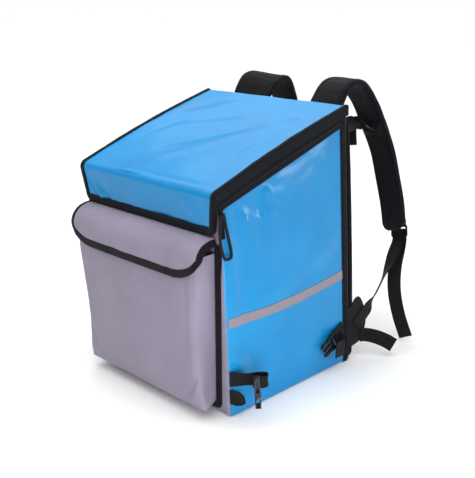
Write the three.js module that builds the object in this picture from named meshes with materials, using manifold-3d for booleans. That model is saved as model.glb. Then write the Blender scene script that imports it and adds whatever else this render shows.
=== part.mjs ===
// An insulated delivery backpack: a foam-walled box with a sloping zipped lid, a flapped front pocket,
// padded shoulder straps and loose side straps with release buckles.
// Millimetres, +Z up. The pocket faces -Y, the wearer's side is +Y, and the origin is the middle of the base.

import * as THREE from "three";
import { mergeVertices } from "three/addons/utils/BufferGeometryUtils.js";
import Module from "manifold-3d";

const wasm = await Module();
wasm.setup();

// Driving dimensions
const bag = { width: 416, depth: 344, backHeight: 540, frontHeight: 438, wall: 6, bulge: 9 };
const lid = { thickness: 6, overhang: 11, crown: 6, foldRadius: 9, lipHeight: 76, lipTuck: 3, lipInset: 9, cornerRadius: 14, backInset: 2 };
const lidBinding = { thickness: 2, slopeLap: 4, endLap: 8, bottomLap: 13, slopeDrop: 18, lipDrop: 7, bottomDrop: 5 };
const zip = { thickness: 1.2, frontDepth: 36, backDepth: 33, swell: 7, lipDepth: 18, tail: 8, coilLow: 0.3, coilHigh: 0.5, coilHeight: 1.5 };
const backPad = { thickness: 22, edgeRadius: 9, floorGap: 3 };
const stripe = { width: 19, thickness: 0.8, height: 191, rise: 7, sag: 5 };
const pocket = { depth: 50, lowInset: 40, highInset: 19, frontInset: 17, bottomZ: 25, topDrop: 37, wall: 2, corner: 14, bulge: 3.5, waist: 12 };
const seamBinding = { width: 17.5, thickness: 1.8, topDrop: 19, cornerRadius: 1 };
const flap = { inset: 15, turnDown: 17, cloth: 2, bindingWidth: 17, bindingThickness: 3, seamDrop: 5.5, fall: 73, length: 112, cornerAcross: 64, cornerAlong: 46 };
const shoulder = { width: 92, thickness: 14, reach: 192, seamInset: 96, lowInset: 14, leftTwist: 3 };
const webbing = { width: 30, thickness: 1.8, loop: 4.1 };
const lock = { width: 40, thickness: 4, slot: 9, rail: 4, sideRail: 3.6 };
const wing = { thickness: 2.4, overlap: 16, reach: 46, top: 133, bottom: 28 };
const buckle = { length: 50, width: 41, thickness: 11, wall: 2.2, bar: 4, barSlot: 9, prongLength: 27, plugThickness: 5 };
const hipBelt = { reach: 56, height: 46, seamOffset: 25 };
const adjuster = { height: 72, leaveHeight: 102, seamOffset: 12 };
const frontStrap = { height: 81, reach: 50, bulge: 9, droop: 35, splay: 0.66, leftSplay: 0.34, endHeight: 46, endLength: 21 };
const rearStrap = { height: 70, reach: 38, tail: 32 };
const lifter = { anchorDrop: 66, anchorInset: 26, lockReach: 104, lockDrop: 58, lockInset: 70, tail: 42 };
const slider = { length: 13, width: 9, plate: 1.6 };
const pull = { cord: 4.5, length: 94, spread: 24 };
const gap = 0.35; // clearance between pieces that are sewn or lie together

const half = bag.width / 2;
const frontY = -bag.depth / 2;
const backY = bag.depth / 2;
const pocketLow = half - pocket.lowInset;
const pocketHigh = half - pocket.highInset;
const pocketFront = half - pocket.frontInset;
const flapHalf = half - flap.inset;
const lipY = frontY - lid.overhang;
const padFrontY = backY - backPad.thickness;
const lipBottomZ = bag.frontHeight - lid.lipHeight;
const pocketTopZ = lipBottomZ - pocket.topDrop;
const lidBackY = backY - lid.backInset;
const slopeLength = Math.hypot(backY - lipY, bag.backHeight - bag.frontHeight);
const slopeCos = (backY - lipY) / slopeLength;

const finish = (color, roughness, metalness = 0) => new THREE.MeshStandardMaterial({ color, roughness, metalness });
const blueTarpaulin = finish(0x3d9ce2, 0.45);
const greyCloth = finish(0x9a93a6, 0.75);
const blackBinding = finish(0x1c1a20, 0.85);
const blackMesh = finish(0x17171b, 0.9);
const blackPlastic = finish(0x121216, 0.4);
const greyReflective = finish(0xa79aa6, 0.5);

const model = new THREE.Group();
const v3 = (x, y, z) => new THREE.Vector3(x, y, z);
const mix = THREE.MathUtils.lerp;
const clamp01 = (t) => THREE.MathUtils.clamp(t, 0, 1);
const hump = (t, power = 1.2) => Math.sin(Math.PI * clamp01(t)) ** power;

// Turns a geometry's faces outwards if the mapping or a mirror turned them in.
function facingOut(geometry) {
  const p = geometry.attributes.position;
  const index = geometry.index.array;
  const a = v3(), b = v3(), c = v3();
  let volume = 0;
  for (let i = 0; i < index.length; i += 3) {
    a.fromBufferAttribute(p, index[i]);
    b.fromBufferAttribute(p, index[i + 1]);
    c.fromBufferAttribute(p, index[i + 2]);
    volume += a.dot(b.cross(c));
  }
  if (volume < 0) {
    for (let i = 0; i < index.length; i += 3) {
      [index[i + 1], index[i + 2]] = [index[i + 2], index[i + 1]];
    }
  }
  geometry.computeVertexNormals();
  return geometry;
}

// A gridded unit box whose every vertex is moved by place(u, v, w), each from 0 to 1.
function shaped(nu, nv, nw, place) {
  const box = new THREE.BoxGeometry(1, 1, 1, nu, nv, nw);
  box.deleteAttribute("normal");
  box.deleteAttribute("uv");
  const geometry = mergeVertices(box, 1e-5);
  const p = geometry.attributes.position;
  for (let i = 0; i < p.count; i += 1) {
    const moved = place(p.getX(i) + 0.5, p.getY(i) + 0.5, p.getZ(i) + 0.5);
    p.setXYZ(i, moved.x, moved.y, moved.z);
  }
  return facingOut(geometry);
}

function add(name, geometry, material) {
  const mesh = new THREE.Mesh(geometry, material);
  mesh.name = name;
  model.add(mesh);
  return mesh;
}

function mirrored(geometry, side) {
  const copy = geometry.clone();
  if (side < 0) copy.scale(-1, 1, 1);
  return facingOut(copy);
}

function addPair(name, geometry, material) {
  add(`${name}_right`, mirrored(geometry, 1), material);
  add(`${name}_left`, mirrored(geometry, -1), material);
}

// manifold-3d solids for the pieces that are cut
function solidOf(geometry) {
  const triVerts = new Uint32Array(geometry.index.array);
  return new wasm.Manifold(new wasm.Mesh({ numProp: 3, vertProperties: geometry.attributes.position.array, triVerts }));
}

function geometryOf(solid) {
  const mesh = solid.getMesh();
  const geometry = new THREE.BufferGeometry();
  geometry.setAttribute("position", new THREE.BufferAttribute(mesh.vertProperties, 3));
  geometry.setIndex(new THREE.BufferAttribute(mesh.triVerts, 1));
  return facingOut(geometry);
}

// A smooth route through rows of points, read by a share from 0 to 1 that follows the rows evenly.
function routeOf(points) {
  const curve = new THREE.CatmullRomCurve3(points, false, "centripetal");
  return { at: (t) => curve.getPoint(clamp01(t)), along: (t) => curve.getTangent(clamp01(t)) };
}

// A flat strap along a route. across(t) is the direction of its width.
function ribbon(points, across, width, thickness, steps, widthAt = () => 1) {
  const route = routeOf(points);
  return shaped(1, steps, 1, (u, v, w) => {
    const side = across(v).clone().normalize();
    const normal = route.along(v).cross(side).normalize();
    const flat = normal.clone().cross(route.along(v)).normalize();
    return route.at(v).addScaledVector(flat, (u - 0.5) * width * widthAt(v)).addScaledVector(normal, (w - 0.5) * thickness);
  });
}

const turning = (from, to) => (t) => from.clone().lerp(to, t);

// Lid

const slopeShare = (y) => (y - lipY) / (backY - lipY);
const lidZ = (y) => mix(bag.frontHeight, bag.backHeight, slopeShare(y)) + lid.crown * hump(slopeShare(y), 1);

// Rows down the lid's outer face, from the back edge over the front fold to the foot of the lip.
// span says where a row is: 0 to 1 on the slope, 1 to 2 on the fold, 2 to 3 on the lip.
const foldTilt = Math.atan2(lidZ(lipY + lid.foldRadius + 1) - lidZ(lipY + lid.foldRadius), 1);
const foldCentreY = lipY + lid.foldRadius;
const foldStartY = foldCentreY - lid.foldRadius * Math.sin(foldTilt);
const foldCentreZ = lidZ(foldStartY) - lid.foldRadius * Math.cos(foldTilt);
const lipLean = Math.atan2(lid.lipTuck, foldCentreZ - lipBottomZ);

function lidRow(span) {
  if (span < 1) {
    const y = mix(lidBackY, foldStartY, span);
    const rise = lidZ(y + 0.5) - lidZ(y - 0.5);
    return { span, y, z: lidZ(y), normal: v3(0, -rise, 1).normalize(), down: 0 };
  }
  if (span <= 2) {
    const angle = mix(Math.PI / 2 + foldTilt, Math.PI + lipLean, span - 1);
    const normal = v3(0, Math.cos(angle), Math.sin(angle));
    return { span, y: foldCentreY + lid.foldRadius * normal.y, z: foldCentreZ + lid.foldRadius * normal.z, normal, down: 0 };
  }
  const end = lidRow(2);
  const down = span - 2;
  return { span, y: end.y + down * lid.lipTuck, z: mix(end.z, lipBottomZ, down), normal: end.normal, down };
}

const slopeSpans = [0, 0.12, 0.24, 0.36, 0.48, 0.6, 0.72, 0.84, 0.93];
const foldSpans = [1, 1.25, 1.5, 1.75, 2];
const lidHalfAt = (down) => half - lid.lipInset * Math.min(1, down / 0.78);

// How far a rounded lower corner of the lip is cut in at height z.
function cornerCut(z) {
  const up = Math.max(0, z - lipBottomZ) / lid.cornerRadius;
  return up >= 1 ? 0 : lid.cornerRadius * (1 - Math.sqrt(1 - (1 - up) ** 2));
}

function lidPanel() {
  const rows = [...slopeSpans, ...foldSpans, 2.4, 2.78, 2.87, 2.94, 3].map(lidRow);
  return shaped(10, rows.length - 1, 1, (u, v, w) => {
    const row = rows[Math.round(v * (rows.length - 1))];
    const reach = lidHalfAt(row.down) - cornerCut(row.z);
    const sag = row.down > 0 ? 0 : -3 * hump(u) * hump(slopeShare(row.y));
    return v3(mix(-reach, reach, u), row.y, row.z).addScaledVector(row.normal, (w - 1) * lid.thickness + sag);
  });
}

// A line in the side plane that follows the lid's edge at one depth below the slope and another behind the lip.
function besideLid(span, slopeDepth, lipDepth, footZ) {
  const cornerY = lipY + lipDepth;
  const cornerZ = lidZ(cornerY) - slopeDepth(cornerY);
  const turn = 3;
  if (span < 1) {
    const y = mix(lidBackY, cornerY + turn, span);
    return { y, z: lidZ(y) - slopeDepth(y) };
  }
  if (span <= 2) {
    const t = (span - 1.5) * 2;
    return t < 0 ? { y: cornerY - t * turn, z: lidZ(cornerY - t * turn) - slopeDepth(cornerY) } : { y: cornerY, z: cornerZ - t * turn };
  }
  return { y: cornerY + (span - 2) * lid.lipTuck, z: mix(cornerZ - turn, footZ, span - 2) };
}

// The tape folded over the lid's edge: it laps onto the face and drops down the side.
function lidBindingStrip() {
  const { thickness } = lidBinding;
  const foot = lidRow(3);
  const lipDown = v3(0, Math.sin(lipLean), -Math.cos(lipLean));
  const stations = [...slopeSpans, ...foldSpans, 2.3, 2.6, 2.78].map((span) => {
    const row = lidRow(span);
    const inner = besideLid(span, () => lidBinding.slopeDrop, lidBinding.lipDrop, lipBottomZ);
    return {
      at: v3(lidHalfAt(row.down), row.y, row.z), out: v3(1, 0, 0), normal: row.normal,
      lap: row.span >= 1.5 ? lidBinding.endLap : lidBinding.slopeLap,
      side: (lift) => v3(lidHalfAt(row.down) + lift, inner.y, inner.z),
    };
  });
  const reach = lidHalfAt(1) - lid.cornerRadius;
  for (const degrees of [0, 22.5, 45, 67.5, 90]) {
    const angle = THREE.MathUtils.degToRad(degrees);
    const out = v3(Math.cos(angle), 0, 0).addScaledVector(lipDown, Math.sin(angle));
    const at = v3(reach, foot.y, foot.z).addScaledVector(lipDown, -lid.cornerRadius).addScaledVector(out, lid.cornerRadius);
    const drop = mix(lidBinding.lipDrop, lidBinding.bottomDrop, degrees / 90);
    stations.push({
      at, out, normal: foot.normal, lap: mix(lidBinding.endLap, lidBinding.bottomLap, degrees / 90),
      side: (lift) => at.clone().addScaledVector(out, lift).addScaledVector(foot.normal, -drop),
    });
  }
  const all = [...stations, ...[...stations].reverse()];
  return shaped(2, all.length - 1, 1, (u, v, w) => {
    const k = Math.round(v * (all.length - 1));
    const s = all[k];
    const lift = gap + w * thickness;
    let point;
    if (u < 0.25) point = s.at.clone().addScaledVector(s.out, -s.lap).addScaledVector(s.normal, lift);
    else if (u < 0.75) point = s.at.clone().addScaledVector(s.out, lift).addScaledVector(s.normal, lift);
    else point = s.side(lift);
    return k < stations.length ? point : point.setX(-point.x);
  });
}

// Zipper down each side of the lid, in the plane of the side panel. Depths run from the lid's edge.
const zipDepth = (y) => mix(zip.frontDepth, zip.backDepth, slopeShare(y)) + zip.swell * hump(slopeShare(y), 1);
const underBinding = lidBinding.slopeDrop + gap;

function zipStrip(low, high, x, thickness, tail) {
  const spans = [0.067, ...slopeSpans.slice(1), ...foldSpans, 2.3, 2.65, 3];
  return shaped(1, spans.length - 1, 1, (u, v, w) => {
    const across = mix(low, high, u);
    const lipDepth = mix(lidBinding.lipDrop + gap, zip.lipDepth, across);
    const p = besideLid(spans[Math.round(v * (spans.length - 1))], (y) => mix(underBinding, zipDepth(y), across), lipDepth, lipBottomZ - tail);
    return v3(x + w * thickness, p.y, p.z);
  });
}

// Box walls

const lidUnderZ = (y) => lidZ(y) - (lid.thickness + 2 * gap) / slopeCos - 1;

function sideBulge(y, z) {
  const bandZ = lidZ(y) - zipDepth(y) - 4;
  return bag.bulge * hump((y - frontY) / (padFrontY - frontY)) * hump(z / bandZ, 1.1);
}

// The side panel's outer face, lifted clear of it by lift.
const onSide = (y, z, lift = 0) => v3(half + sideBulge(y, z) + lift, y, z);

function sidePanel() {
  return shaped(8, 12, 1, (u, v, w) => {
    const mitre = (1 - w) * bag.wall;
    const y = mix(frontY + mitre + gap, padFrontY - gap, u);
    const z = mix(0, lidUnderZ(y), v);
    return v3(half - (1 - w) * bag.wall + sideBulge(y, z), y, z);
  });
}

function frontPanel() {
  return shaped(10, 10, 1, (u, v, w) => {
    const mitre = (1 - w) * bag.wall;
    const x = mix(-(half - mitre - gap), half - mitre - gap, u);
    const z = mix(0, lidUnderZ(frontY) - lid.foldRadius / 2, v);
    return v3(x, frontY + mitre, z);
  });
}

function bottomPanel() {
  const inner = half - bag.wall - gap;
  return shaped(1, 1, 1, (u, v, w) =>
    v3(mix(-inner, inner, u), mix(frontY + bag.wall + gap, padFrontY - gap, v), w * bag.wall));
}

// The back is one thick foam pad with softened edges.
function backPanel() {
  const soft = [0, 0.02, 0.08, 0.3, 0.5, 0.7, 0.92, 0.98, 1];
  return shaped(8, 8, 1, (u, v, w) => {
    const across = soft[Math.round(u * 8)];
    const up = soft[Math.round(v * 8)];
    const rim = Math.min(across, 1 - across) * bag.width;
    const foot = up * bag.backHeight;
    const edge = (d) => (d >= backPad.edgeRadius * 2 ? 0 : backPad.edgeRadius * (1 - Math.min(1, d / backPad.edgeRadius)) ** 2);
    const y = w > 0.5 ? backY - Math.max(edge(rim), edge(foot)) : padFrontY;
    return v3(mix(-half, half, across), y, mix(backPad.floorGap, lidUnderZ(y), up));
  });
}

function reflectiveStripe() {
  return shaped(12, 1, 1, (u, v, w) => {
    const y = mix(frontY + 6, padFrontY - gap, u);
    const z = stripe.height - stripe.sag * hump(u, 1) + stripe.rise * u + (v - 0.5) * stripe.width;
    return onSide(y, z, 0.9 + w * stripe.thickness);
  });
}

// Front pocket

// A point on the pocket's wall: share runs round from the right seam to the left one, up runs from the base.
function pocketPoint(share, up, inset) {
  const rising = clamp01((up - 0.12) / 0.88);
  const forward = clamp01(up / 0.12);
  const z = mix(pocket.bottomZ, pocketTopZ, rising) + inset * (1 - rising);
  const depth = mix(pocket.wall + 2, pocket.depth, forward) - inset;
  const waist = pocket.waist * hump(rising * 1.25, 1.2);
  const seamHalf = mix(pocketLow, pocketHigh, clamp01((z - pocket.bottomZ) / (pocketTopZ - pocket.bottomZ)));
  const frontHalf = mix(pocketLow, pocketFront - waist, forward) - inset;
  const baseHalf = seamHalf - inset;
  const bulge = pocket.bulge * hump(rising) * forward;
  const rows = [
    { run: 0, x: baseHalf, out: 0 },
    { run: 0.1, x: mix(baseHalf, frontHalf, 0.5), out: 0.5 },
    { run: 0.17, x: frontHalf, out: 0.84 },
    { run: 0.21, x: frontHalf - pocket.corner * 0.35, out: 0.97 },
    { run: 0.27, x: frontHalf - pocket.corner * 1.6, out: 1 },
    { run: 0.5, x: 0, out: 1 },
  ];
  const near = Math.min(share, 1 - share);
  const k = Math.max(1, rows.findIndex((row) => row.run >= near - 1e-6));
  const t = (near - rows[k - 1].run) / (rows[k].run - rows[k - 1].run);
  const x = mix(rows[k - 1].x, rows[k].x, t);
  const out = mix(rows[k - 1].out, rows[k].out, t) * depth;
  const swell = bulge * hump(share, 1.5);
  return v3(share < 0.5 ? x : -x, frontY - gap - out - swell, z);
}

function pocketBody() {
  const runs = [0, 0.1, 0.17, 0.21, 0.27, 0.38, 0.5, 0.62, 0.73, 0.79, 0.83, 0.9, 1];
  const ups = [0, 0.12, 0.16, 0.3, 0.45, 0.6, 0.75, 0.88, 1];
  return shaped(runs.length - 1, ups.length - 1, 1, (u, v, w) =>
    pocketPoint(runs[Math.round(u * (runs.length - 1))], ups[Math.round(v * (ups.length - 1))], (1 - w) * pocket.wall));
}

// A flat U of tape on the front panel, round the pocket's seam.
function pocketSeamBinding() {
  const low = pocket.bottomZ - gap;
  const lean = (pocketHigh - pocketLow) / (pocketTopZ - pocket.bottomZ);
  const splay = ((pocketFront - pocketLow) / pocket.depth) * seamBinding.thickness;
  const seamAt = (z) => pocketLow + gap + splay + lean * (z - pocket.bottomZ);
  const outline = (offset) => {
    const radius = seamBinding.cornerRadius + offset;
    const foot = low - offset;
    const points = [1, 0.66, 0.33].map((up) => mix(foot + radius, (lipBottomZ - seamBinding.topDrop), up)).map((z) => ({ x: seamAt(z) + offset, z }));
    for (const degrees of [0, 30, 60, 90]) {
      const angle = THREE.MathUtils.degToRad(degrees);
      const z = foot + radius * (1 - Math.sin(angle));
      points.push({ x: seamAt(foot + radius) + offset - radius * (1 - Math.cos(angle)), z });
    }
    return [...points, ...[...points].reverse().map((p) => ({ x: -p.x, z: p.z }))];
  };
  const inside = outline(0);
  const outside = outline(seamBinding.width);
  return shaped(1, inside.length - 1, 1, (u, v, w) => {
    const k = Math.round(v * (inside.length - 1));
    return v3(mix(inside[k].x, outside[k].x, u), frontY - gap - w * seamBinding.thickness, mix(inside[k].z, outside[k].z, u));
  });
}

// Pocket flap: shares of the pocket's depth forwards, and of the fall below the lip's foot.
const flapTable = [
  { forward: 0.02, fall: 0 },
  { forward: 0.3, fall: 0 },
  { forward: 0.64, fall: 0.07 },
  { forward: 0.93, fall: 0.24 },
  { forward: 1.08, fall: 0.46 },
  { forward: 1.125, fall: 0.7 },
  { forward: 1.13, fall: 1 },
];
const flapTopZ = lipBottomZ - flap.seamDrop;
const flapRoute = routeOf(flapTable.map((row) =>
  v3(0, frontY - gap - flap.bindingThickness / 2 - row.forward * pocket.depth, flapTopZ - row.fall * flap.fall)));

// A point over the flap: along is the run from the seam, lift the height over its middle. Past its half width it turns down.
function flapPoint(x, along, lift) {
  const t = along / flap.length;
  const normal = v3(1, 0, 0).cross(flapRoute.along(t)).normalize();
  const past = Math.max(0, Math.abs(x) - flapHalf);
  const across = Math.sign(x) * (Math.min(Math.abs(x), flapHalf) + 0.3 * past);
  const ends = 3.5 * clamp01(t) * (1 - hump((x + flapHalf) / (2 * flapHalf), 0.5));
  const turned = v3(Math.sign(x), 0, 0).lerp(v3(0, 0, 0), past > 0 ? 0 : 1).multiplyScalar(lift * 0.9);
  return flapRoute.at(t).setX(across).addScaledVector(normal, -lift * (past > 0 ? 0.45 : 1) + 0.95 * past + ends).add(turned);
}

const flapFull = flapHalf + flap.turnDown;
const flapStraight = flap.length - flap.cornerAlong;

// The flap's outline, drawn in by inset, as runs across and along it.
function flapOutline(inset) {
  const reach = flapFull - inset;
  const points = [0, 0.3, 0.62, 1].map((share) => ({ x: reach, along: flapStraight * share }));
  const across = flap.cornerAcross + flap.turnDown - inset;
  for (const degrees of [18, 36, 54, 72, 90]) {
    const angle = THREE.MathUtils.degToRad(degrees);
    points.push({ x: reach - across * (1 - Math.cos(angle)), along: flapStraight + (flap.cornerAlong - inset) * Math.sin(angle) });
  }
  return points;
}

function flapCloth() {
  const edge = flapOutline(flap.bindingWidth + gap);
  return shaped(12, edge.length - 1, 1, (u, v, w) => {
    const { x, along } = edge[Math.round(v * (edge.length - 1))];
    return flapPoint(mix(-x, x, u), along, (w - 0.5) * flap.cloth);
  });
}

function flapBindingStrip() {
  const round = (inset) => {
    const points = [...flapOutline(inset), { x: flapFull / 4, along: flap.length - inset }];
    return [...points, ...[...points].reverse().map((p) => ({ x: -p.x, along: p.along }))];
  };
  const outside = round(0);
  const inside = round(flap.bindingWidth);
  return shaped(2, outside.length - 1, 1, (u, v, w) => {
    const k = Math.round(v * (outside.length - 1));
    return flapPoint(mix(outside[k].x, inside[k].x, u), mix(outside[k].along, inside[k].along, u), (w - 0.5) * flap.bindingThickness);
  });
}

// Shoulder straps

// across runs from the anchor's place to the low end's, out is a share of the reach, up of the bag's height,
// turn and roll swing the pad's width out of the level.
const padTable = [
  { across: 0, out: 0, up: 0.828, width: 0.88, turn: 0, roll: 0 },
  { across: 0, out: 0.035, up: 0.9, width: 0.95, turn: 0, roll: 0 },
  { across: 0, out: 0.17, up: 0.972, width: 0.97, turn: -0.07, roll: 0 },
  { across: 0.01, out: 0.35, up: 1.042, width: 0.96, turn: -0.14, roll: 0.02 },
  { across: 0.03, out: 0.555, up: 1.044, width: 0.93, turn: -0.14, roll: 0.02 },
  { across: 0.115, out: 0.745, up: 0.964, width: 0.79, turn: -0.08, roll: 0.02 },
  { across: 0.205, out: 0.865, up: 0.862, width: 0.72, turn: 0, roll: 0.05 },
  { across: 0.35, out: 0.945, up: 0.752, width: 0.68, turn: 0, roll: 0.1 },
  { across: 0.53, out: 0.945, up: 0.642, width: 0.65, turn: 0.06, roll: 0.15 },
  { across: 0.75, out: 0.905, up: 0.547, width: 0.63, turn: 0.1, roll: 0.2 },
  { across: 0.93, out: 0.84, up: 0.478, width: 0.6, turn: 0.12, roll: 0.2 },
  { across: 1, out: 0.81, up: 0.452, width: 0.43, turn: 0.12, roll: 0.2 },
];
const band = { at: 0.552, span: 0.045 };
const padSeatY = backY + gap + shoulder.thickness / 2;
const padRoute = routeOf(padTable.map((row) =>
  v3(half - mix(shoulder.seamInset, shoulder.lowInset, row.across), padSeatY + row.out * shoulder.reach, row.up * bag.backHeight)));

function padRow(t, column) {
  const at = clamp01(t) * (padTable.length - 1);
  const k = Math.min(padTable.length - 2, Math.floor(at));
  return mix(padTable[k][column], padTable[k + 1][column], at - k);
}

const padAcross = (t) => v3(1, padRow(t, "turn"), padRow(t, "roll")).normalize();

// A point on the pad: u across, w through it from the outer face. grow lifts a wrapped band clear of it,
// and twist turns the pad's top further, as the left strap lies.
function padPoint(u, t, w, grow = 0, twist = 1) {
  const along = padRoute.along(t);
  const sway = (twist - 1) * THREE.MathUtils.smoothstep(t, 0.09, 0.2) * (1 - THREE.MathUtils.smoothstep(t, 0.32, band.at - band.span));
  const level = v3(1, padRow(t, "turn") * (1 + sway), padRow(t, "roll") + 0.07 * sway).normalize();
  const normal = along.clone().cross(level).normalize();
  const flat = normal.clone().cross(along).normalize();
  const thick = shoulder.thickness * (Math.abs(u - 0.5) > 0.45 ? 0.45 : 1) + 2 * grow;
  const wide = shoulder.width * padRow(t, "width") + 2 * grow;
  const sink = (twist - 1) * 2.5 * hump(t / (band.at - band.span), 1.5);
  return padRoute.at(t).addScaledVector(flat, (u - 0.5) * wide).addScaledVector(normal, (w - 0.5) * thick).add(v3(0, -0.5 * sink, -sink));
}

const padCuts = [0, 0.1, 0.5, 0.9, 1];

function shoulderPad(twist) {
  return shaped(4, 33, 1, (u, v, w) => padPoint(padCuts[Math.round(u * 4)], v, w, 0, twist));
}

// A webbing band sewn round the pad, cut as a sleeve.
function padSleeve() {
  const shell = (grow, longer) => shaped(4, 2, 1, (u, v, w) =>
    padPoint(padCuts[Math.round(u * 4)], band.at + (v - 0.5) * band.span * longer, w, grow));
  return geometryOf(solidOf(shell(gap + webbing.thickness, 1)).subtract(solidOf(shell(gap, 1.5))));
}

// Flat plates drawn in their own plane, then stood up where they hang

function plate(outline, thickness, holes = []) {
  const shape = new THREE.Shape(outline.map(([x, y]) => new THREE.Vector2(x, y)));
  for (const hole of holes) shape.holes.push(new THREE.Path(hole.map(([x, y]) => new THREE.Vector2(x, y))));
  const drawn = new THREE.ExtrudeGeometry(shape, { depth: thickness, bevelEnabled: false });
  drawn.deleteAttribute("normal");
  drawn.deleteAttribute("uv");
  return mergeVertices(drawn, 1e-4).translate(0, 0, -thickness / 2);
}

const rectangle = (x0, y0, x1, y1) => [[x0, y0], [x1, y0], [x1, y1], [x0, y1]];

// Axes of a hanging plate: x across it, y up it and z out of its face.
function frameOf(across, up) {
  const x = across.clone().normalize();
  const z = x.clone().cross(up).normalize();
  return { x, y: z.clone().cross(x), z };
}

const placed = (frame, at, x, y, z) => at.clone().addScaledVector(frame.x, x).addScaledVector(frame.y, y).addScaledVector(frame.z, z);

function stand(geometry, at, frame) {
  return geometry.applyMatrix4(new THREE.Matrix4().makeBasis(frame.x, frame.y, frame.z).setPosition(at));
}

// A three-bar webbing adjuster, its middle bar at its centre.
const lockHalf = 1.5 * lock.rail + lock.slot;
const lockTopBar = lock.rail + lock.slot;

function threeBar() {
  const w = lock.width / 2;
  const h = lockHalf;
  const inner = w - lock.sideRail;
  const outline = [[-w + 4, -h], [w - 4, -h], [w, -h + 5], [w, h - 5], [w - 4, h], [-w + 4, h], [-w, h - 5], [-w, -h + 5]];
  const slots = [-1, 1].map((side) => {
    const y = side * (lock.rail + lock.slot) / 2;
    return rectangle(-inner, y - lock.slot / 2, inner, y + lock.slot / 2);
  });
  return plate(outline, lock.thickness, slots);
}

// The socket of a side-release buckle, its strap bar at its origin and its mouth down at -length.
function buckleSocket() {
  const w = buckle.width / 2;
  const b = buckle.bar / 2;
  const foot = -buckle.length;
  const inner = -b - buckle.barSlot;
  const outline = [[-w + 3, foot], [w - 3, foot], [w, foot + 5], [w, inner - 2], [w - 3, b - 2], [w - 5, b], [-w + 5, b], [-w + 3, b - 2], [-w, inner - 2], [-w, foot + 5]];
  const across = webbing.width / 2 + 1;
  const body = plate(outline, buckle.thickness, [rectangle(-across, inner, across, -b)]);
  const room = buckle.thickness - 2 * buckle.wall;
  const mouth = plate(rectangle(-w + 3.4, foot - 1, w - 3.4, inner - 4), room);
  const windows = plate(rectangle(-w - 1, foot + 12, w + 1, inner - 8), room - 1);
  const slim = (side) => plate(rectangle(-across - 0.1, -b - 0.1, across + 0.1, b + 1), buckle.thickness)
    .translate(0, 0, side * (buckle.thickness / 2 + b));
  return geometryOf([mouth, windows, slim(1), slim(-1)].reduce((left, tool) => left.subtract(solidOf(tool)), solidOf(body)));
}

// The plug of a side-release buckle: its strap bar at its origin and three prongs pointing down.
function bucklePlug() {
  const w = buckle.width / 2 - buckle.wall - 2.6;
  const top = webbing.width / 2 + 4.5;
  const b = buckle.bar / 2;
  const bodyTop = -b - buckle.barSlot;
  const root = bodyTop - 5;
  const tip = root - buckle.prongLength;
  const outline = [
    [-top, b - 3], [-top, bodyTop], [-w, root - 5], [-w + 1, tip + 16], [-w - 2, tip + 12], [-w - 1, tip + 5], [-w + 4, tip], [-w + 7, tip + 1],
    [-w + 6, tip + 12], [-w + 7, root], [-3, root], [-2.4, tip + 3], [2.4, tip + 3], [3, root],
    [w - 7, root], [w - 6, tip + 12], [w - 7, tip + 1], [w - 4, tip], [w + 1, tip + 5], [w + 2, tip + 12], [w - 1, tip + 16],
    [w, root - 5], [top, bodyTop], [top, b - 3], [top - 3, b], [-top + 3, b],
  ];
  return plate(outline, buckle.plugThickness, [rectangle(-top + 3.5, bodyTop + 1, top - 3.5, -b)]);
}

// The tab sewn into the back seam, which the strap and the belt are stitched to.
function wingTab() {
  const height = wing.top - wing.bottom;
  const rows = [
    { out: 0, up: 0.86 }, { out: 0.3, up: 1 }, { out: 0.58, up: 1 }, { out: 0.85, up: 0.79 }, { out: 1, up: 0.47 },
    { out: 0.93, up: 0.3 }, { out: 0.63, up: 0.08 }, { out: 0, up: 0 },
  ];
  const outline = [[0, 0.02 * height], [0, 0.86 * height], ...rows.map((row) => [wing.overlap + row.out * wing.reach, row.up * height])];
  const at = v3(half + gap + wing.thickness / 2, backY - wing.overlap, wing.bottom);
  return stand(plate(outline, wing.thickness), at, frameOf(v3(0, 1, 0), v3(0, 0, 1)));
}

// Loose straps. A strap turns round a bar in a loop: rows are shares of the loop's radius, a along it and b through the bar.
const loopTable = [
  { a: -1.2, b: -1 }, { a: 0, b: -1 }, { a: 0.7, b: -0.7 }, { a: 1, b: 0 }, { a: 0.7, b: 0.7 }, { a: 0, b: 1 }, { a: -1.2, b: 1 },
];
const aroundBar = (at, along, through, bulge = 0) => loopTable.map((row) =>
  at.clone().addScaledVector(along, row.a * webbing.loop + (row.a > -1 ? bulge : 0)).addScaledVector(through, row.b * webbing.loop));

const strapFace = half + gap + wing.thickness + gap + webbing.thickness / 2;

// The lock hangs from the pad's low end on a short tab, on the side away from the bag.
const lockFrame = frameOf(padAcross(1), v3(-0.05, 0.25, 1));
const lockAt = padPoint(0.5, 0.985, 0).addScaledVector(lockFrame.z, -13).add(v3(0, 0, -5));

function lockTab() {
  const topBar = placed(lockFrame, lockAt, 0, lockTopBar, 0);
  const seat = (t, lift) => {
    const normal = padRoute.along(t).cross(padAcross(t)).normalize();
    const at = padPoint(0.5, t, 0).addScaledVector(normal, -lift - webbing.thickness / 2 - gap);
    return at.addScaledVector(lockFrame.x, at.clone().sub(topBar).dot(lockFrame.x) * -1);
  };
  const rows = [seat(0.845, 0.6), seat(0.87, 1.2), seat(0.89, 3.2)];
  rows.push(...aroundBar(topBar, lockFrame.y.clone().negate(), lockFrame.z.clone().negate()));
  rows.push(placed(lockFrame, topBar, 0, 12, -webbing.loop - 1));
  return ribbon(rows, (t) => padAcross(0.87).lerp(lockFrame.x, THREE.MathUtils.smoothstep(t, 0, 0.2)), webbing.width, webbing.thickness, 30);
}

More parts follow.
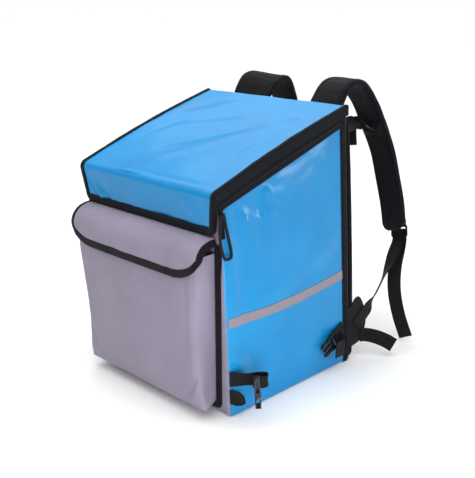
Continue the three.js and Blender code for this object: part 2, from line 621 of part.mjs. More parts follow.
// From the wing up to the lock, over its middle bar and down again as the loose tail.
function adjusterWebbing() {
  const start = v3(strapFace, backY + adjuster.seamOffset, adjuster.height);
  const leave = v3(strapFace + 0.6, backY + wing.reach + 6, adjuster.leaveHeight);
  const end = placed(lockFrame, lockAt, 0, -lockHalf - 3, webbing.loop + 0.6);
  const rise = [
    { run: 0.12, sag: -0.02 }, { run: 0.28, sag: -0.045 }, { run: 0.45, sag: -0.06 }, { run: 0.64, sag: -0.055 }, { run: 0.84, sag: -0.03 },
  ];
  const reach = leave.distanceTo(end);
  const rows = [start, start.clone().lerp(leave, 0.5), leave];
  rows.push(...rise.map((row) => leave.clone().lerp(end, row.run).add(v3(0, 0, row.sag * reach))));
  rows.push(end, ...aroundBar(lockAt, lockFrame.y, lockFrame.z.clone().negate()));
  const foot = placed(lockFrame, lockAt, 0, -lockHalf - 2, -webbing.loop - 1);
  const fall = [
    { x: 0, y: 0, z: 0 }, { x: 0.02, y: -0.055, z: -0.1 }, { x: 0.045, y: -0.14, z: -0.23 }, { x: 0.06, y: -0.18, z: -0.37 },
    { x: 0.08, y: -0.195, z: -0.52 }, { x: 0.135, y: -0.2, z: -0.73 }, { x: 0.225, y: -0.2, z: -0.945 },
  ];
  rows.push(...fall.map((row) => foot.clone().add(v3(row.x, row.y, row.z).multiplyScalar(foot.z))));
  const twist = (t) => v3(0, -0.65, 0.76).lerp(lockFrame.x, THREE.MathUtils.smoothstep(t, 0.12, 0.32)).lerp(v3(0.88, -0.4, 0.1), THREE.MathUtils.smoothstep(t, 0.75, 1));
  return ribbon(rows, twist, webbing.width, webbing.thickness, 42);
}

function hipBeltStrap() {
  const start = v3(strapFace, backY + hipBelt.seamOffset, hipBelt.height);
  const table = [
    { x: 0, y: 0, z: 0 }, { x: 0.08, y: 0.2, z: -0.02 }, { x: 0.42, y: 0.45, z: -0.1 }, { x: 0.75, y: 0.65, z: -0.24 }, { x: 1, y: 0.76, z: -0.38 },
  ];
  const points = table.map((row) => start.clone().add(v3(row.x, row.y, row.z).multiplyScalar(hipBelt.reach)));
  return ribbon(points, turning(v3(0, 0.1, 1), v3(0, 0.55, 0.8)), webbing.width, webbing.thickness, 10);
}

// Front strap: out from the front seam, round the socket's bar and back onto itself. splay says how far it stands
// off the side, and the strap's cut end hangs from the same seam below it.
function frontStrapSet(splay) {
  const out = v3(splay, Math.sqrt(1 - splay ** 2), 0);
  const ahead = v3(out.y, -out.x, 0);
  const droop = THREE.MathUtils.degToRad(frontStrap.droop);
  const across = ahead.clone().multiplyScalar(Math.sin(droop)).add(v3(0, 0, Math.cos(droop)));
  const frame = frameOf(across, ahead.clone().multiplyScalar(-Math.cos(droop)).add(v3(0, 0, Math.sin(droop))));
  const foot = (z) => v3(half + gap + webbing.thickness / 2, frontY + 1, z);
  const back = frame.y.clone().negate();
  const bar = foot(frontStrap.height).addScaledVector(out, frontStrap.reach).addScaledVector(back, webbing.loop);
  const rows = [0, 0.2, 0.45, 0.7].map((run) => foot(frontStrap.height).addScaledVector(out, run * frontStrap.reach).add(v3(0, 0, -2 * run)));
  rows.push(...aroundBar(bar, out, back, frontStrap.bulge));
  rows.push(...[7, 13].map((run) => bar.clone().addScaledVector(out, -run).addScaledVector(back, -0.35 * webbing.loop)));
  const lean = (t) => v3(0, 0, 1).lerp(frame.x, THREE.MathUtils.smoothstep(t, 0.02, 0.24));
  const fallen = [{ out: 0.03, down: 0 }, { out: 0.25, down: -0.02 }, { out: 0.5, down: -0.1 }, { out: 0.75, down: -0.23 }, { out: 1, down: -0.4 }]
    .map((row) => foot(frontStrap.endHeight).addScaledVector(out, row.out * frontStrap.endLength).add(v3(0, 0, row.down * frontStrap.endLength)));
  return {
    strap: ribbon(rows, lean, webbing.width, webbing.thickness, 34),
    end: ribbon(fallen, turning(v3(-0.05, -0.05, 1), v3(-0.25, -0.28, 0.93)), webbing.width, webbing.thickness, 8),
    socket: stand(buckleSocket(), bar, frame),
  };
}

// Rear strap: forward from the back seam, round the plug's bar, its loose end hanging.
const plugFrame = frameOf(v3(0.05, -0.5, 0.86), v3(0.06, 0.86, 0.5));
const plugAt = v3(half + 12, padFrontY - rearStrap.reach, rearStrap.height);

function rearStrapWebbing() {
  const out = plugFrame.z.x > 0 ? plugFrame.z : plugFrame.z.clone().negate();
  const ahead = plugFrame.y.clone().negate();
  const start = v3(half + gap + webbing.thickness / 2 + 0.6, padFrontY - 5, rearStrap.height + 12);
  const rows = [start, start.clone().lerp(plugAt, 0.5).add(v3(-2, 0, 0)), ...aroundBar(plugAt, ahead, out)];
  const from = rows[rows.length - 1];
  const fall = [{ x: 0.05, y: 0.05, z: -0.22 }, { x: 0.06, y: 0.02, z: -0.6 }, { x: 0.05, y: -0.02, z: -1 }];
  rows.push(...fall.map((row) => from.clone().add(v3(row.x, row.y, row.z).multiplyScalar(rearStrap.tail))));
  const swing = (t) => v3(0, -0.05, 1).lerp(plugFrame.x, THREE.MathUtils.smoothstep(t, 0, 0.15)).lerp(v3(0.1, -0.9, 0.4), THREE.MathUtils.smoothstep(t, 0.74, 0.95));
  return ribbon(rows, swing, webbing.width, webbing.thickness, 30);
}

// Load lifter: from the back seam over the lock's middle bar, its tail hanging, and a tab from the lock to the pad's band.
const lifterAt = v3(half - lifter.lockInset, backY + lifter.lockReach, bag.backHeight - lifter.lockDrop);
const lifterFrame = frameOf(v3(0.8, 0.1, -0.55), v3(-0.08, 0.95, -0.2));

function lifterStrap() {
  const under = lifterFrame.z.z > 0 ? lifterFrame.z.clone().negate() : lifterFrame.z;
  const start = v3(half - lifter.anchorInset, backY + gap + webbing.thickness / 2, bag.backHeight - lifter.anchorDrop - 14);
  const near = lifterAt.clone().addScaledVector(lifterFrame.y, -lockHalf - 10).addScaledVector(under, -webbing.loop);
  const rows = [start, start.clone().add(v3(0, 1.5, 10)), start.clone().add(v3(-3, 12, 22)), start.clone().lerp(near, 0.6).add(v3(6, 0, 10)), near, near.clone().addScaledVector(lifterFrame.y, 10)];
  rows.push(...aroundBar(lifterAt, lifterFrame.y, under));
  const from = placed(lifterFrame, lifterAt, 0, -lockHalf - 2, 0).addScaledVector(under, webbing.loop + 1);
  rows.push(from, ...[{ y: -0.08, z: -0.25 }, { y: -0.1, z: -0.6 }, { y: -0.08, z: -1 }].map((row) => from.clone().add(v3(0, row.y, row.z).multiplyScalar(lifter.tail))));
  const swing = (t) => v3(1, 0, 0).lerp(lifterFrame.x, THREE.MathUtils.smoothstep(t, 0.08, 0.24)).lerp(v3(0.8, 0.6, 0), THREE.MathUtils.smoothstep(t, 0.82, 1));
  return ribbon(rows, swing, webbing.width, webbing.thickness, 40);
}

function lifterTab() {
  const topBar = placed(lifterFrame, lifterAt, 0, lockTopBar, 0);
  const normal = padRoute.along(band.at).cross(padAcross(band.at)).normalize();
  const seat = padPoint(0.42, band.at, 1).addScaledVector(normal, 2 * gap + 1.5 * webbing.thickness + 1.4);
  const over = lifterFrame.z.z > 0 ? lifterFrame.z : lifterFrame.z.clone().negate();
  const rows = [seat.clone().add(v3(0, 0, -6)), seat, seat.clone().lerp(topBar, 0.4).add(v3(0, 0, 5)), placed(lifterFrame, topBar, 0, 9, 0).addScaledVector(over, webbing.loop)];
  rows.push(...aroundBar(topBar, lifterFrame.y.clone().negate(), over.clone().negate()));
  rows.push(placed(lifterFrame, topBar, 0, 14, 0).addScaledVector(over, -webbing.loop + 1.5));
  return ribbon(rows, (t) => v3(0.95, 0.1, -0.1).lerp(lifterFrame.x, THREE.MathUtils.smoothstep(t, 0, 0.26)), webbing.width, webbing.thickness, 28);
}

// Zip slider at the front of each side, and the cord loop that pulls the right one
const coilFace = half + 3 * gap + zip.thickness + zip.coilHeight;
const sliderAt = besideLid(2.12, zipDepth, mix(lidBinding.lipDrop + gap, zip.lipDepth, (zip.coilLow + zip.coilHigh) / 2), lipBottomZ);

function sliderBody() {
  const w = slider.width / 2;
  const l = slider.length / 2;
  const outline = [[-w * 0.5, -l], [w * 0.5, -l], [w, -l * 0.3], [w, l * 0.6], [w * 0.6, l], [-w * 0.6, l], [-w, l * 0.6], [-w, -l * 0.3]];
  const at = v3(coilFace + slider.plate / 2, sliderAt.y, sliderAt.z);
  return stand(plate(outline, slider.plate), at, frameOf(v3(0, 1, 0), v3(0, 0, 1)));
}

function pullLoop() {
  const table = [
    { y: 0.1, z: 0 }, { y: 0.3, z: -0.3 }, { y: 0.62, z: -0.62 }, { y: 0.7, z: -0.88 }, { y: 0.45, z: -0.98 },
    { y: 0, z: -1 }, { y: -0.34, z: -0.94 }, { y: -0.38, z: -0.6 }, { y: -0.2, z: -0.25 }, { y: -0.06, z: 0 },
  ];
  const x = coilFace + slider.plate + gap + pull.cord / 2;
  const points = table.map((row) => v3(x, sliderAt.y + row.y * pull.spread, sliderAt.z + 3 + row.z * pull.length));
  const tube = new THREE.TubeGeometry(new THREE.CatmullRomCurve3(points, true, "centripetal"), 36, pull.cord / 2, 6, true);
  tube.deleteAttribute("normal");
  tube.deleteAttribute("uv");
  return mergeVertices(tube, 1e-4);
}

model.name = "insulated_delivery_backpack";
add("bottom_panel", bottomPanel(), blueTarpaulin);
addPair("side_panel", sidePanel(), blueTarpaulin);
add("front_panel", frontPanel(), greyCloth);
add("back_pad", backPanel(), blackMesh);
add("lid_panel", lidPanel(), blueTarpaulin);
add("lid_binding", lidBindingStrip(), blackBinding);
addPair("zipper_tape", zipStrip(0, 1, half + gap, zip.thickness, zip.tail), blackBinding);
addPair("zipper_coil", zipStrip(zip.coilLow, zip.coilHigh, half + 2 * gap + zip.thickness, zip.coilHeight, zip.tail - 3), blackPlastic);
addPair("zipper_slider", sliderBody(), blackPlastic);
add("zipper_pull_loop", facingOut(pullLoop()), blackBinding);
addPair("reflective_stripe", reflectiveStripe(), greyReflective);
add("pocket_body", pocketBody(), greyCloth);
add("pocket_seam_binding", pocketSeamBinding(), blackBinding);
add("pocket_flap", flapCloth(), greyCloth);
add("flap_binding", flapBindingStrip(), blackBinding);
add("shoulder_pad_right", mirrored(shoulderPad(1), 1), blackMesh);
add("shoulder_pad_left", mirrored(shoulderPad(shoulder.leftTwist), -1), blackMesh);
addPair("pad_band", padSleeve(), blackBinding);
addPair("wing_tab", wingTab(), blackBinding);
addPair("ladder_lock", stand(threeBar(), lockAt, lockFrame), blackPlastic);
addPair("lock_tab", lockTab(), blackBinding);
addPair("adjuster_webbing", adjusterWebbing(), blackBinding);
addPair("hip_belt", hipBeltStrap(), blackBinding);
addPair("lifter_lock", stand(threeBar(), lifterAt, lifterFrame), blackPlastic);
addPair("lifter_strap", lifterStrap(), blackBinding);
addPair("lifter_tab", lifterTab(), blackBinding);
for (const [name, side, splay] of [["right", 1, frontStrap.splay], ["left", -1, frontStrap.leftSplay]]) {
  const pieces = frontStrapSet(splay);
  add(`front_strap_${name}`, mirrored(pieces.strap, side), blackBinding);
  add(`front_strap_end_${name}`, mirrored(pieces.end, side), blackBinding);
  add(`buckle_socket_${name}`, mirrored(pieces.socket, side), blackPlastic);
}
addPair("rear_strap", rearStrapWebbing(), blackBinding);
addPair("buckle_plug", stand(bucklePlug(), plugAt, plugFrame), blackPlastic);

export default model;
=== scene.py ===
import functools
import math

import bmesh
import bpy
from mathutils import Matrix, Vector, noise


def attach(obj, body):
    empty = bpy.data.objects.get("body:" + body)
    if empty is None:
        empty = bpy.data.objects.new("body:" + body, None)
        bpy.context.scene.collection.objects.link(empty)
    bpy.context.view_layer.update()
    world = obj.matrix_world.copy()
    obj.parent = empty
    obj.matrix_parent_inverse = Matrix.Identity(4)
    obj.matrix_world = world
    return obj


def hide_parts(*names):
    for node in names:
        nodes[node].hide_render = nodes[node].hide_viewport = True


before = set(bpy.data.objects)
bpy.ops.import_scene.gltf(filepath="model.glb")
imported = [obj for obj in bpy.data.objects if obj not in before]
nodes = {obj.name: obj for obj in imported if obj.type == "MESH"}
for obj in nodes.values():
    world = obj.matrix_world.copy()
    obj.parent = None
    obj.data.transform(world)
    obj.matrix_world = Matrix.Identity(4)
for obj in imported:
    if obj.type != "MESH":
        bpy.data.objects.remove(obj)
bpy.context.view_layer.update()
print("frame loaded:", len(nodes), "nodes")

# Measures are in millimetres up to the moment a vertex is placed. +X right, +Y to the wearer, +Z up.
mm = 0.001
bag = {"width": 416, "depth": 344, "backHeight": 540, "frontHeight": 438, "wall": 6, "bulge": 9}
half = bag["width"] / 2
frontY = -bag["depth"] / 2
backY = bag["depth"] / 2
gap = 0.35  # sewn pieces lie this far apart


# small tools

def mix(a, b, t):
    return a + (b - a) * t


def clamp01(t):
    return min(1.0, max(0.0, t))


def smoothstep(t, low, high):
    t = clamp01((t - low) / (high - low))
    return t * t * (3 - 2 * t)


def hump(t, power=1.2):
    return max(0.0, math.sin(math.pi * clamp01(t))) ** power


def unevenness(x, y, z, size, seed=0.0):
    # soft random waves, size in mm, between about -1 and 1
    return noise.noise(Vector((x / size + seed, y / size - seed, z / size + 2.3 * seed)))


def catmull(points, t, closed=False):
    # a smooth route through points, read by a share of its rows
    count = len(points)
    p = (count - (0 if closed else 1)) * (t if closed else clamp01(t))
    k = int(math.floor(p))
    w = p - k
    if not closed and w == 0 and k == count - 1:
        k, w = count - 2, 1.0
    p1, p2 = points[k % count], points[(k + 1) % count]
    p0 = points[(k - 1) % count] if closed or k > 0 else points[0] * 2 - points[1]
    p3 = points[(k + 2) % count] if closed or k + 2 < count else points[-1] * 2 - points[-2]
    d0, d1, d2 = ((b - a).length_squared ** 0.25 for a, b in ((p0, p1), (p1, p2), (p2, p3)))
    d1 = d1 if d1 > 1e-4 else 1.0
    d0 = d0 if d0 > 1e-4 else d1
    d2 = d2 if d2 > 1e-4 else d1
    start = ((p1 - p0) / d0 - (p2 - p0) / (d0 + d1) + (p2 - p1) / d1) * d1
    end = ((p2 - p1) / d1 - (p3 - p1) / (d1 + d2) + (p3 - p2) / d2) * d1
    square = p2 * 3 - p1 * 3 - start * 2 - end
    cube = p1 * 2 - p2 * 2 + start + end
    return p1 + start * w + square * w ** 2 + cube * w ** 3


def along(points, t, closed=False):
    low, high = (t - 1e-4, t + 1e-4) if closed else (clamp01(t - 1e-4), clamp01(t + 1e-4))
    return (catmull(points, high, closed) - catmull(points, low, closed)).normalized()


def finished(bm, name, material, outwards=True):
    # turns the bmesh into an object that rides on the bag; outwards=False where its faces are right already
    if outwards:
        bmesh.ops.recalc_face_normals(bm, faces=bm.faces)
    for face in bm.faces:
        face.smooth = True
    mesh = bpy.data.meshes.new(name)
    bm.to_mesh(mesh)
    bm.free()
    mesh.materials.append(material)
    piece = bpy.data.objects.new(name, mesh)
    bpy.context.scene.collection.objects.link(piece)
    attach(piece, "root")
    return piece


def slab(name, cuts, place, material, sharp=40):
    # a closed block cut into a grid, every vertex set by place(u, v, w) from 0 to 1; u and v run over the
    # cloth's face
    bm = bmesh.new()
    uvLayer = bm.loops.layers.uv.new("cloth")
    bmesh.ops.create_cube(bm, size=1.0)
    for axis in range(3):
        if cuts[axis] > 1:
            edges = [e for e in bm.edges if abs(e.verts[0].co[axis] - e.verts[1].co[axis]) > 1e-6]
            bmesh.ops.subdivide_edges(bm, edges=edges, cuts=cuts[axis] - 1, use_grid_fill=True)
    spots = {}
    for vert in bm.verts:
        share = tuple(c + 0.5 for c in vert.co)
        spots[vert] = share
        vert.co = place(*share) * mm
    wide = sum((place((k + 1) / 12, 0.5, 1) - place(k / 12, 0.5, 1)).length for k in range(12)) * mm
    long = sum((place(0.5, (k + 1) / 24, 1) - place(0.5, k / 24, 1)).length for k in range(24)) * mm
    for face in bm.faces:
        for loop in face.loops:
            u, v = spots[loop.vert][:2]
            loop[uvLayer].uv = (u * wide, v * long)
    piece = finished(bm, name, material)
    if sharp:
        piece.data.set_sharp_from_angle(angle=math.radians(sharp))
    return piece


def roundPiece(name, around, rows, place, material, uvScale):
    # a tube whose rings are set by place(angle, t); both ends are closed
    bm = bmesh.new()
    uvLayer = bm.loops.layers.uv.new("cloth")
    bmesh.ops.create_cone(bm, cap_ends=True, segments=around, radius1=1, radius2=1, depth=1)
    posts = [e for e in bm.edges if abs(e.verts[0].co.z - e.verts[1].co.z) > 0.5]
    bmesh.ops.subdivide_edges(bm, edges=posts, cuts=rows - 1, use_grid_fill=True)
    caps = [f for f in bm.faces if len(f.verts) == around]
    bmesh.ops.poke(bm, faces=caps)
    spots = {}
    for vert in bm.verts:
        t = vert.co.z + 0.5
        flat = math.hypot(vert.co.x, vert.co.y)
        angle = math.atan2(vert.co.y, vert.co.x) % (2 * math.pi)
        spots[vert] = (angle, t, flat)
    middle = {}
    for end in (0.0, 1.0):
        middle[end] = sum((place(k * math.pi / 4, end) for k in range(8)), Vector()) / 8
    for vert, (angle, t, flat) in spots.items():
        vert.co = (place(angle, t) if flat > 0.5 else middle[round(t)]) * mm
    for face in bm.faces:
        angles = [spots[loop.vert][0] for loop in face.loops]
        for loop in face.loops:
            angle, t, flat = spots[loop.vert]
            if max(angles) - min(angles) > math.pi and angle < math.pi:
                angle += 2 * math.pi
            loop[uvLayer].uv = (angle / (2 * math.pi) * uvScale[0], t * uvScale[1])
    return finished(bm, name, material)


def softEdges(piece, width, segments=2, angle=50):
    bevel = piece.modifiers.new("edge", "BEVEL")
    bevel.width = width * mm
    bevel.segments = segments
    bevel.profile = 0.5
    bevel.limit_method = "ANGLE"
    bevel.angle_limit = math.radians(angle)
    bevel.material = -1
    bevel.harden_normals = True
    return piece


def softTape(name, cuts, place, material, edge):
    # a flat tape whose selvedges are softened over edge mm
    return softEdges(slab(name, cuts, place, material, sharp=0), edge)


def strap(name, points, across, width, thickness, rows, material, widthAt=lambda t: 1.0):
    # webbing along a route; across(t) is the direction of its width
    def place(u, v, w):
        way = along(points, v)
        normal = way.cross(across(v).normalized()).normalized()
        flat = normal.cross(way).normalized()
        edge = 1 - 0.35 * max(0.0, abs(u - 0.5) * 2 - 0.8) / 0.2  # the selvedge is thinner
        aside = (u - 0.5) * width * widthAt(v)
        return catmull(points, v) + flat * aside + normal * ((w - 0.5) * thickness * edge)
    return softTape(name, (10, rows, 1), place, material, thickness * 0.3)


roundBead = bpy.data.meshes.new("roundBead")
beadShape = bmesh.new()
bmesh.ops.create_uvsphere(beadShape, u_segments=6, v_segments=5, radius=mm)
beadShape.to_mesh(roundBead)
beadShape.free()


def addBead(bm, spot):
    # one more copy of the round bead, which is quicker than a new sphere each time
    bead = roundBead.copy()
    bead.transform(spot)
    bm.from_mesh(bead)
    bpy.data.meshes.remove(bead)


def marks(points, due, pitch):
    # walks a row of points and gives the step and the share of it where each mark falls
    run = 0.0
    for k, (a, b) in enumerate(zip(points, points[1:])):
        step = (b - a).length
        while step > 1e-6 and due <= run + step:
            yield k, (due - run) / step
            due += pitch
        run += step


def stitches(name, rows, material, length=3.2, pitch=4.6, radius=0.42):
    # rows of thread: each row is a list of (point, outward normal), each stitch a small sunken bead
    bm = bmesh.new()
    for row in rows:
        for k, share in marks([point for point, _ in row], pitch / 2, pitch):
            (a, na), (b, nb) = row[k:k + 2]
            way = (b - a).normalized()
            out = na.lerp(nb, share).normalized()
            side = out.cross(way).normalized()
            out = way.cross(side)
            turn = Matrix((way, side, out)).transposed()
            at = Matrix.Translation((a.lerp(b, share) + out * radius * 0.15) * mm)
            addBead(bm, at @ turn.to_4x4() @ Matrix.Diagonal((length / 2, radius, radius * 0.8, 1)))
    return finished(bm, name, material)


def mirrorRows(rows, side):
    return [[(Vector((p.x * side, p.y, p.z)), Vector((n.x * side, n.y, n.z))) for p, n in row]
        for row in rows]


def mirrored(place, side):
    def other(u, v, w):
        p = place(u, v, w)
        return Vector((p.x * side, p.y, p.z))
    return other


bothSides = (("right", 1), ("left", -1))
seededSides = (("right", 1, 1), ("left", -1, 2))  # the folds of the two sides differ


# finishes

def linear(text):
    values = [int(text[k:k + 2], 16) / 255 for k in (1, 3, 5)]
    return tuple(v / 12.92 if v <= 0.04045 else ((v + 0.055) / 1.055) ** 2.4 for v in values) + (1.0,)


def addNode(tree, kind, settings=None, links=None):
    node = tree.nodes.new("ShaderNode" + kind)
    for key, value in (settings or {}).items():
        setattr(node, key, value)
    for key, value in (links or {}).items():
        if isinstance(value, bpy.types.NodeSocket):
            tree.links.new(value, node.inputs[key])
        else:
            node.inputs[key].default_value = value
    return node


def newMaterial(name, values):
    material = bpy.data.materials.new(name)
    material.use_nodes = True
    shader = material.node_tree.nodes["Principled BSDF"]
    for key, value in values.items():
        shader.inputs[key].default_value = value
    return material, material.node_tree, shader


def bands(tree, coordinates, period, axis):
    # thread lines across one axis, period in mm
    return addNode(tree, "TexWave", {"wave_type": "BANDS", "bands_direction": axis, "wave_profile": "SIN"},
                   {"Vector": coordinates, "Scale": 0.31416 / (period * mm)}).outputs["Fac"]


def toned(tree, shader, fac, dark, light, low=0.3, high=0.7):
    ramp = addNode(tree, "ValToRGB", {}, {"Fac": fac})
    ramp.color_ramp.elements[0].color = linear(dark)
    ramp.color_ramp.elements[0].position = low
    ramp.color_ramp.elements[1].color = linear(light)
    ramp.color_ramp.elements[1].position = high
    if shader:
        tree.links.new(ramp.outputs["Color"], shader.inputs["Base Color"])
    return ramp.outputs["Color"]


def wovenCloth(name, look):
    # plain weave of two thread systems on the piece's own UV map, which is in metres
    material, tree, shader = newMaterial(name, look["shader"])
    uv = addNode(tree, "UVMap", {"uv_map": "cloth"}).outputs["UV"]
    place = addNode(tree, "TexCoord").outputs["Object"]
    warp = bands(tree, uv, look["thread"], "X")
    weft = bands(tree, uv, look["thread"], "Y")
    weave = addNode(tree, "Math", {"operation": "MULTIPLY"}, {0: warp, 1: weft}).outputs[0]
    cloud = addNode(tree, "TexNoise", {},
        {"Vector": place, "Scale": look["cloudScale"], "Detail": 3.0, "Roughness": 0.55}).outputs["Fac"]
    slub = addNode(tree, "TexNoise", {}, {"Vector": place, "Scale": 420.0, "Detail": 2.0}).outputs["Fac"]
    clouded = addNode(tree, "Math", {"operation": "MULTIPLY"}, {0: cloud, 1: 0.65}).outputs[0]
    tone = addNode(tree, "Math", {"operation": "MULTIPLY_ADD"}, {0: slub, 1: 0.35, 2: clouded}).outputs[0]
    toned(tree, shader, tone, look["dark"], look["light"], 0.36, 0.66)
    low, high = look["rough"]
    rough = addNode(tree, "MapRange", {},
        {"Value": cloud, "From Min": 0.3, "From Max": 0.7, "To Min": low, "To Max": high}).outputs[0]
    tree.links.new(rough, shader.inputs["Roughness"])
    fine = addNode(tree, "Bump", {},
        {"Height": weave, "Strength": look["weaveBump"], "Distance": 0.0003}).outputs[0]
    crumple = addNode(tree, "TexNoise", {},
        {"Vector": place, "Scale": look["crumpleScale"], "Detail": 4.0, "Roughness": 0.5,
            "Distortion": 0.6}).outputs["Fac"]
    bump = addNode(tree, "Bump", {},
        {"Height": crumple, "Strength": look["crumple"], "Distance": 0.004, "Normal": fine})
    tree.links.new(bump.outputs[0], shader.inputs["Normal"])
    return material


# PVC-coated polyester oxford, calendered: a thin gloss over faint weave, gentle folds catch pale patches
blueTarpaulin = wovenCloth("blueTarpaulin", {
    "shader": {"IOR": 1.5, "Coat Weight": 0.32, "Coat Roughness": 0.15, "Specular IOR Level": 0.1},
    "thread": 1.1,  # real threads are 0.5 mm, drawn coarser so that they show
    "dark": "#1081bf", "light": "#188cc8", "rough": (0.34, 0.46), "cloudScale": 9.0,
    "weaveBump": 0.10, "crumple": 0.4, "crumpleScale": 13.0})
# plain polyester oxford, uncoated outside: dull and slightly heathered, its threads drawn coarse to show
greyOxford = wovenCloth("greyOxford", {
    "shader": {"IOR": 1.48, "Sheen Weight": 0.12, "Sheen Roughness": 0.5, "Specular IOR Level": 0.35},
    "thread": 1.2, "dark": "#847d90", "light": "#90889c", "rough": (0.62, 0.78), "cloudScale": 12.0,
    "weaveBump": 0.35, "crumple": 0.30, "crumpleScale": 20.0})
# the same oxford dyed black, for the wing tabs
blackOxford = wovenCloth("blackOxford", {
    "shader": {"IOR": 1.48, "Sheen Weight": 0.05, "Sheen Roughness": 0.5, "Specular IOR Level": 0.15},
    "thread": 1.2, "dark": "#08080b", "light": "#100f14", "rough": (0.62, 0.78), "cloudScale": 14.0,
    "weaveBump": 0.45, "crumple": 0.3, "crumpleScale": 30.0})


def ribbedTape(name, look):
    # ribs of weft thread across the tape's length on its UV map
    material, tree, shader = newMaterial(name, look["shader"])
    uv = addNode(tree, "UVMap", {"uv_map": "cloth"}).outputs["UV"]
    place = addNode(tree, "TexCoord").outputs["Object"]
    ribs = bands(tree, uv, look["rib"], "Y")
    lines = bands(tree, uv, look["line"], "X")
    both = addNode(tree, "Math", {"operation": "MULTIPLY_ADD"},
        {0: lines, 1: look["lineShare"], 2: ribs}).outputs[0]
    fuzz = addNode(tree, "TexNoise", {}, {"Vector": place, "Scale": 260.0, "Detail": 3.0}).outputs["Fac"]
    toned(tree, shader, fuzz, look["dark"], look["light"])
    bump = addNode(tree, "Bump", {},
        {"Height": both, "Strength": look["bump"], "Distance": 0.0005}).outputs[0]
    soft = addNode(tree, "Bump", {}, {"Height": fuzz, "Strength": 0.15, "Distance": 0.0006, "Normal": bump})
    tree.links.new(soft.outputs[0], shader.inputs["Normal"])
    return material


# polyester grosgrain binding: fine cross ribs, dull blue-black
grosgrain = ribbedTape("grosgrainBinding", {
    "shader": {"Roughness": 0.78, "Sheen Weight": 0.04, "Sheen Roughness": 0.4, "IOR": 1.48,
        "Specular IOR Level": 0.14},
    "rib": 1.2, "line": 4.0, "lineShare": 0.15, "dark": "#0a0b12", "light": "#14161f", "bump": 0.5})
# the pocket's own binding is dyed a little more violet and paler
pocketGrosgrain = ribbedTape("pocketGrosgrain", {
    "shader": {"Roughness": 0.8, "Sheen Weight": 0.05, "Sheen Roughness": 0.4, "IOR": 1.48,
        "Specular IOR Level": 0.14},
    "rib": 1.2, "line": 4.0, "lineShare": 0.15, "dark": "#0f0d14", "light": "#18161e", "bump": 0.5})
# polypropylene webbing: thick cross ribs with lengthwise cords, slightly slick
webbingWeave = ribbedTape("polypropyleneWebbing", {
    "shader": {"Roughness": 0.6, "Sheen Weight": 0.03, "Sheen Roughness": 0.4, "IOR": 1.49,
        "Specular IOR Level": 0.2},
    "rib": 1.7, "line": 2.9, "lineShare": 0.8, "dark": "#09090c", "light": "#131217", "bump": 0.8})


def spacerMesh(name, look):
    # knitted mesh: rows of small holes over foam, on the UV map
    material, tree, shader = newMaterial(name, look["shader"])
    uv = addNode(tree, "UVMap", {"uv_map": "cloth"}).outputs["UV"]
    place = addNode(tree, "TexCoord").outputs["Object"]
    cells = addNode(tree, "TexVoronoi", {"feature": "F1", "voronoi_dimensions": "2D"},
        {"Vector": uv, "Scale": 1000 / look["hole"], "Randomness": 0.12}).outputs["Distance"]
    fuzz = addNode(tree, "TexNoise", {}, {"Vector": place, "Scale": 60.0, "Detail": 4.0}).outputs["Fac"]
    fuzzy = addNode(tree, "Math", {"operation": "MULTIPLY"}, {0: fuzz, 1: 0.6}).outputs[0]
    tone = addNode(tree, "Math", {"operation": "MULTIPLY_ADD"}, {0: cells, 1: 0.5, 2: fuzzy}).outputs[0]
    toned(tree, shader, tone, look["dark"], look["light"], 0.35, 0.75)
    bump = addNode(tree, "Bump", {}, {"Height": cells, "Strength": 0.7, "Distance": 0.0008})
    tree.links.new(bump.outputs[0], shader.inputs["Normal"])
    return material


# polyester air mesh laminated to foam: matt black, pitted every 3 mm
airMesh = spacerMesh("airMesh", {
    "shader": {"Roughness": 0.82, "Sheen Weight": 0.08, "Sheen Roughness": 0.5, "IOR": 1.48,
        "Specular IOR Level": 0.15},
    "hole": 3.0, "dark": "#08080b", "light": "#16161c"})


def speckled(name, look):
    material, tree, shader = newMaterial(name, look["shader"])
    place = addNode(tree, "TexCoord").outputs["Object"]
    grain = addNode(tree, "TexNoise", {},
        {"Vector": place, "Scale": look["grain"], "Detail": 3.0}).outputs["Fac"]
    toned(tree, shader, grain, look["dark"], look["light"])
    rough = addNode(tree, "MapRange", {},
        {"Value": grain, "To Min": look["rough"][0], "To Max": look["rough"][1]}).outputs[0]
    tree.links.new(rough, shader.inputs["Roughness"])
    bump = addNode(tree, "Bump", {}, {"Height": grain, "Strength": look["bump"], "Distance": 0.0003})
    tree.links.new(bump.outputs[0], shader.inputs["Normal"])
    return material


# injection-moulded acetal: near black, a spark-eroded grain that breaks up the gloss
mouldedAcetal = speckled("mouldedAcetal", {
    "shader": {"IOR": 1.48, "Specular IOR Level": 0.4},
    "grain": 1500.0, "dark": "#08080a", "light": "#0f0f12", "rough": (0.22, 0.36), "bump": 0.15})
# polyester sewing thread, bonded: small round gloss on each stitch
sewingThread = speckled("sewingThread", {
    "shader": {"IOR": 1.5, "Sheen Weight": 0.1, "Specular IOR Level": 0.3},
    "grain": 3000.0, "dark": "#15141a", "light": "#24222b", "rough": (0.5, 0.65), "bump": 0.3})
# the same thread in the stripe's grey
greyThread = speckled("greyThread", {
    "shader": {"IOR": 1.5, "Sheen Weight": 0.2},
    "grain": 3000.0, "dark": "#857e90", "light": "#9790a2", "rough": (0.5, 0.65), "bump": 0.3})
# braided polyester cord: matt, roughened by its tiny strands
braidedCord = speckled("braidedCord", {
    "shader": {"IOR": 1.48, "Sheen Weight": 0.06, "Specular IOR Level": 0.2},
    "grain": 900.0, "dark": "#0a0a0d", "light": "#18171d", "rough": (0.65, 0.8), "bump": 0.6})
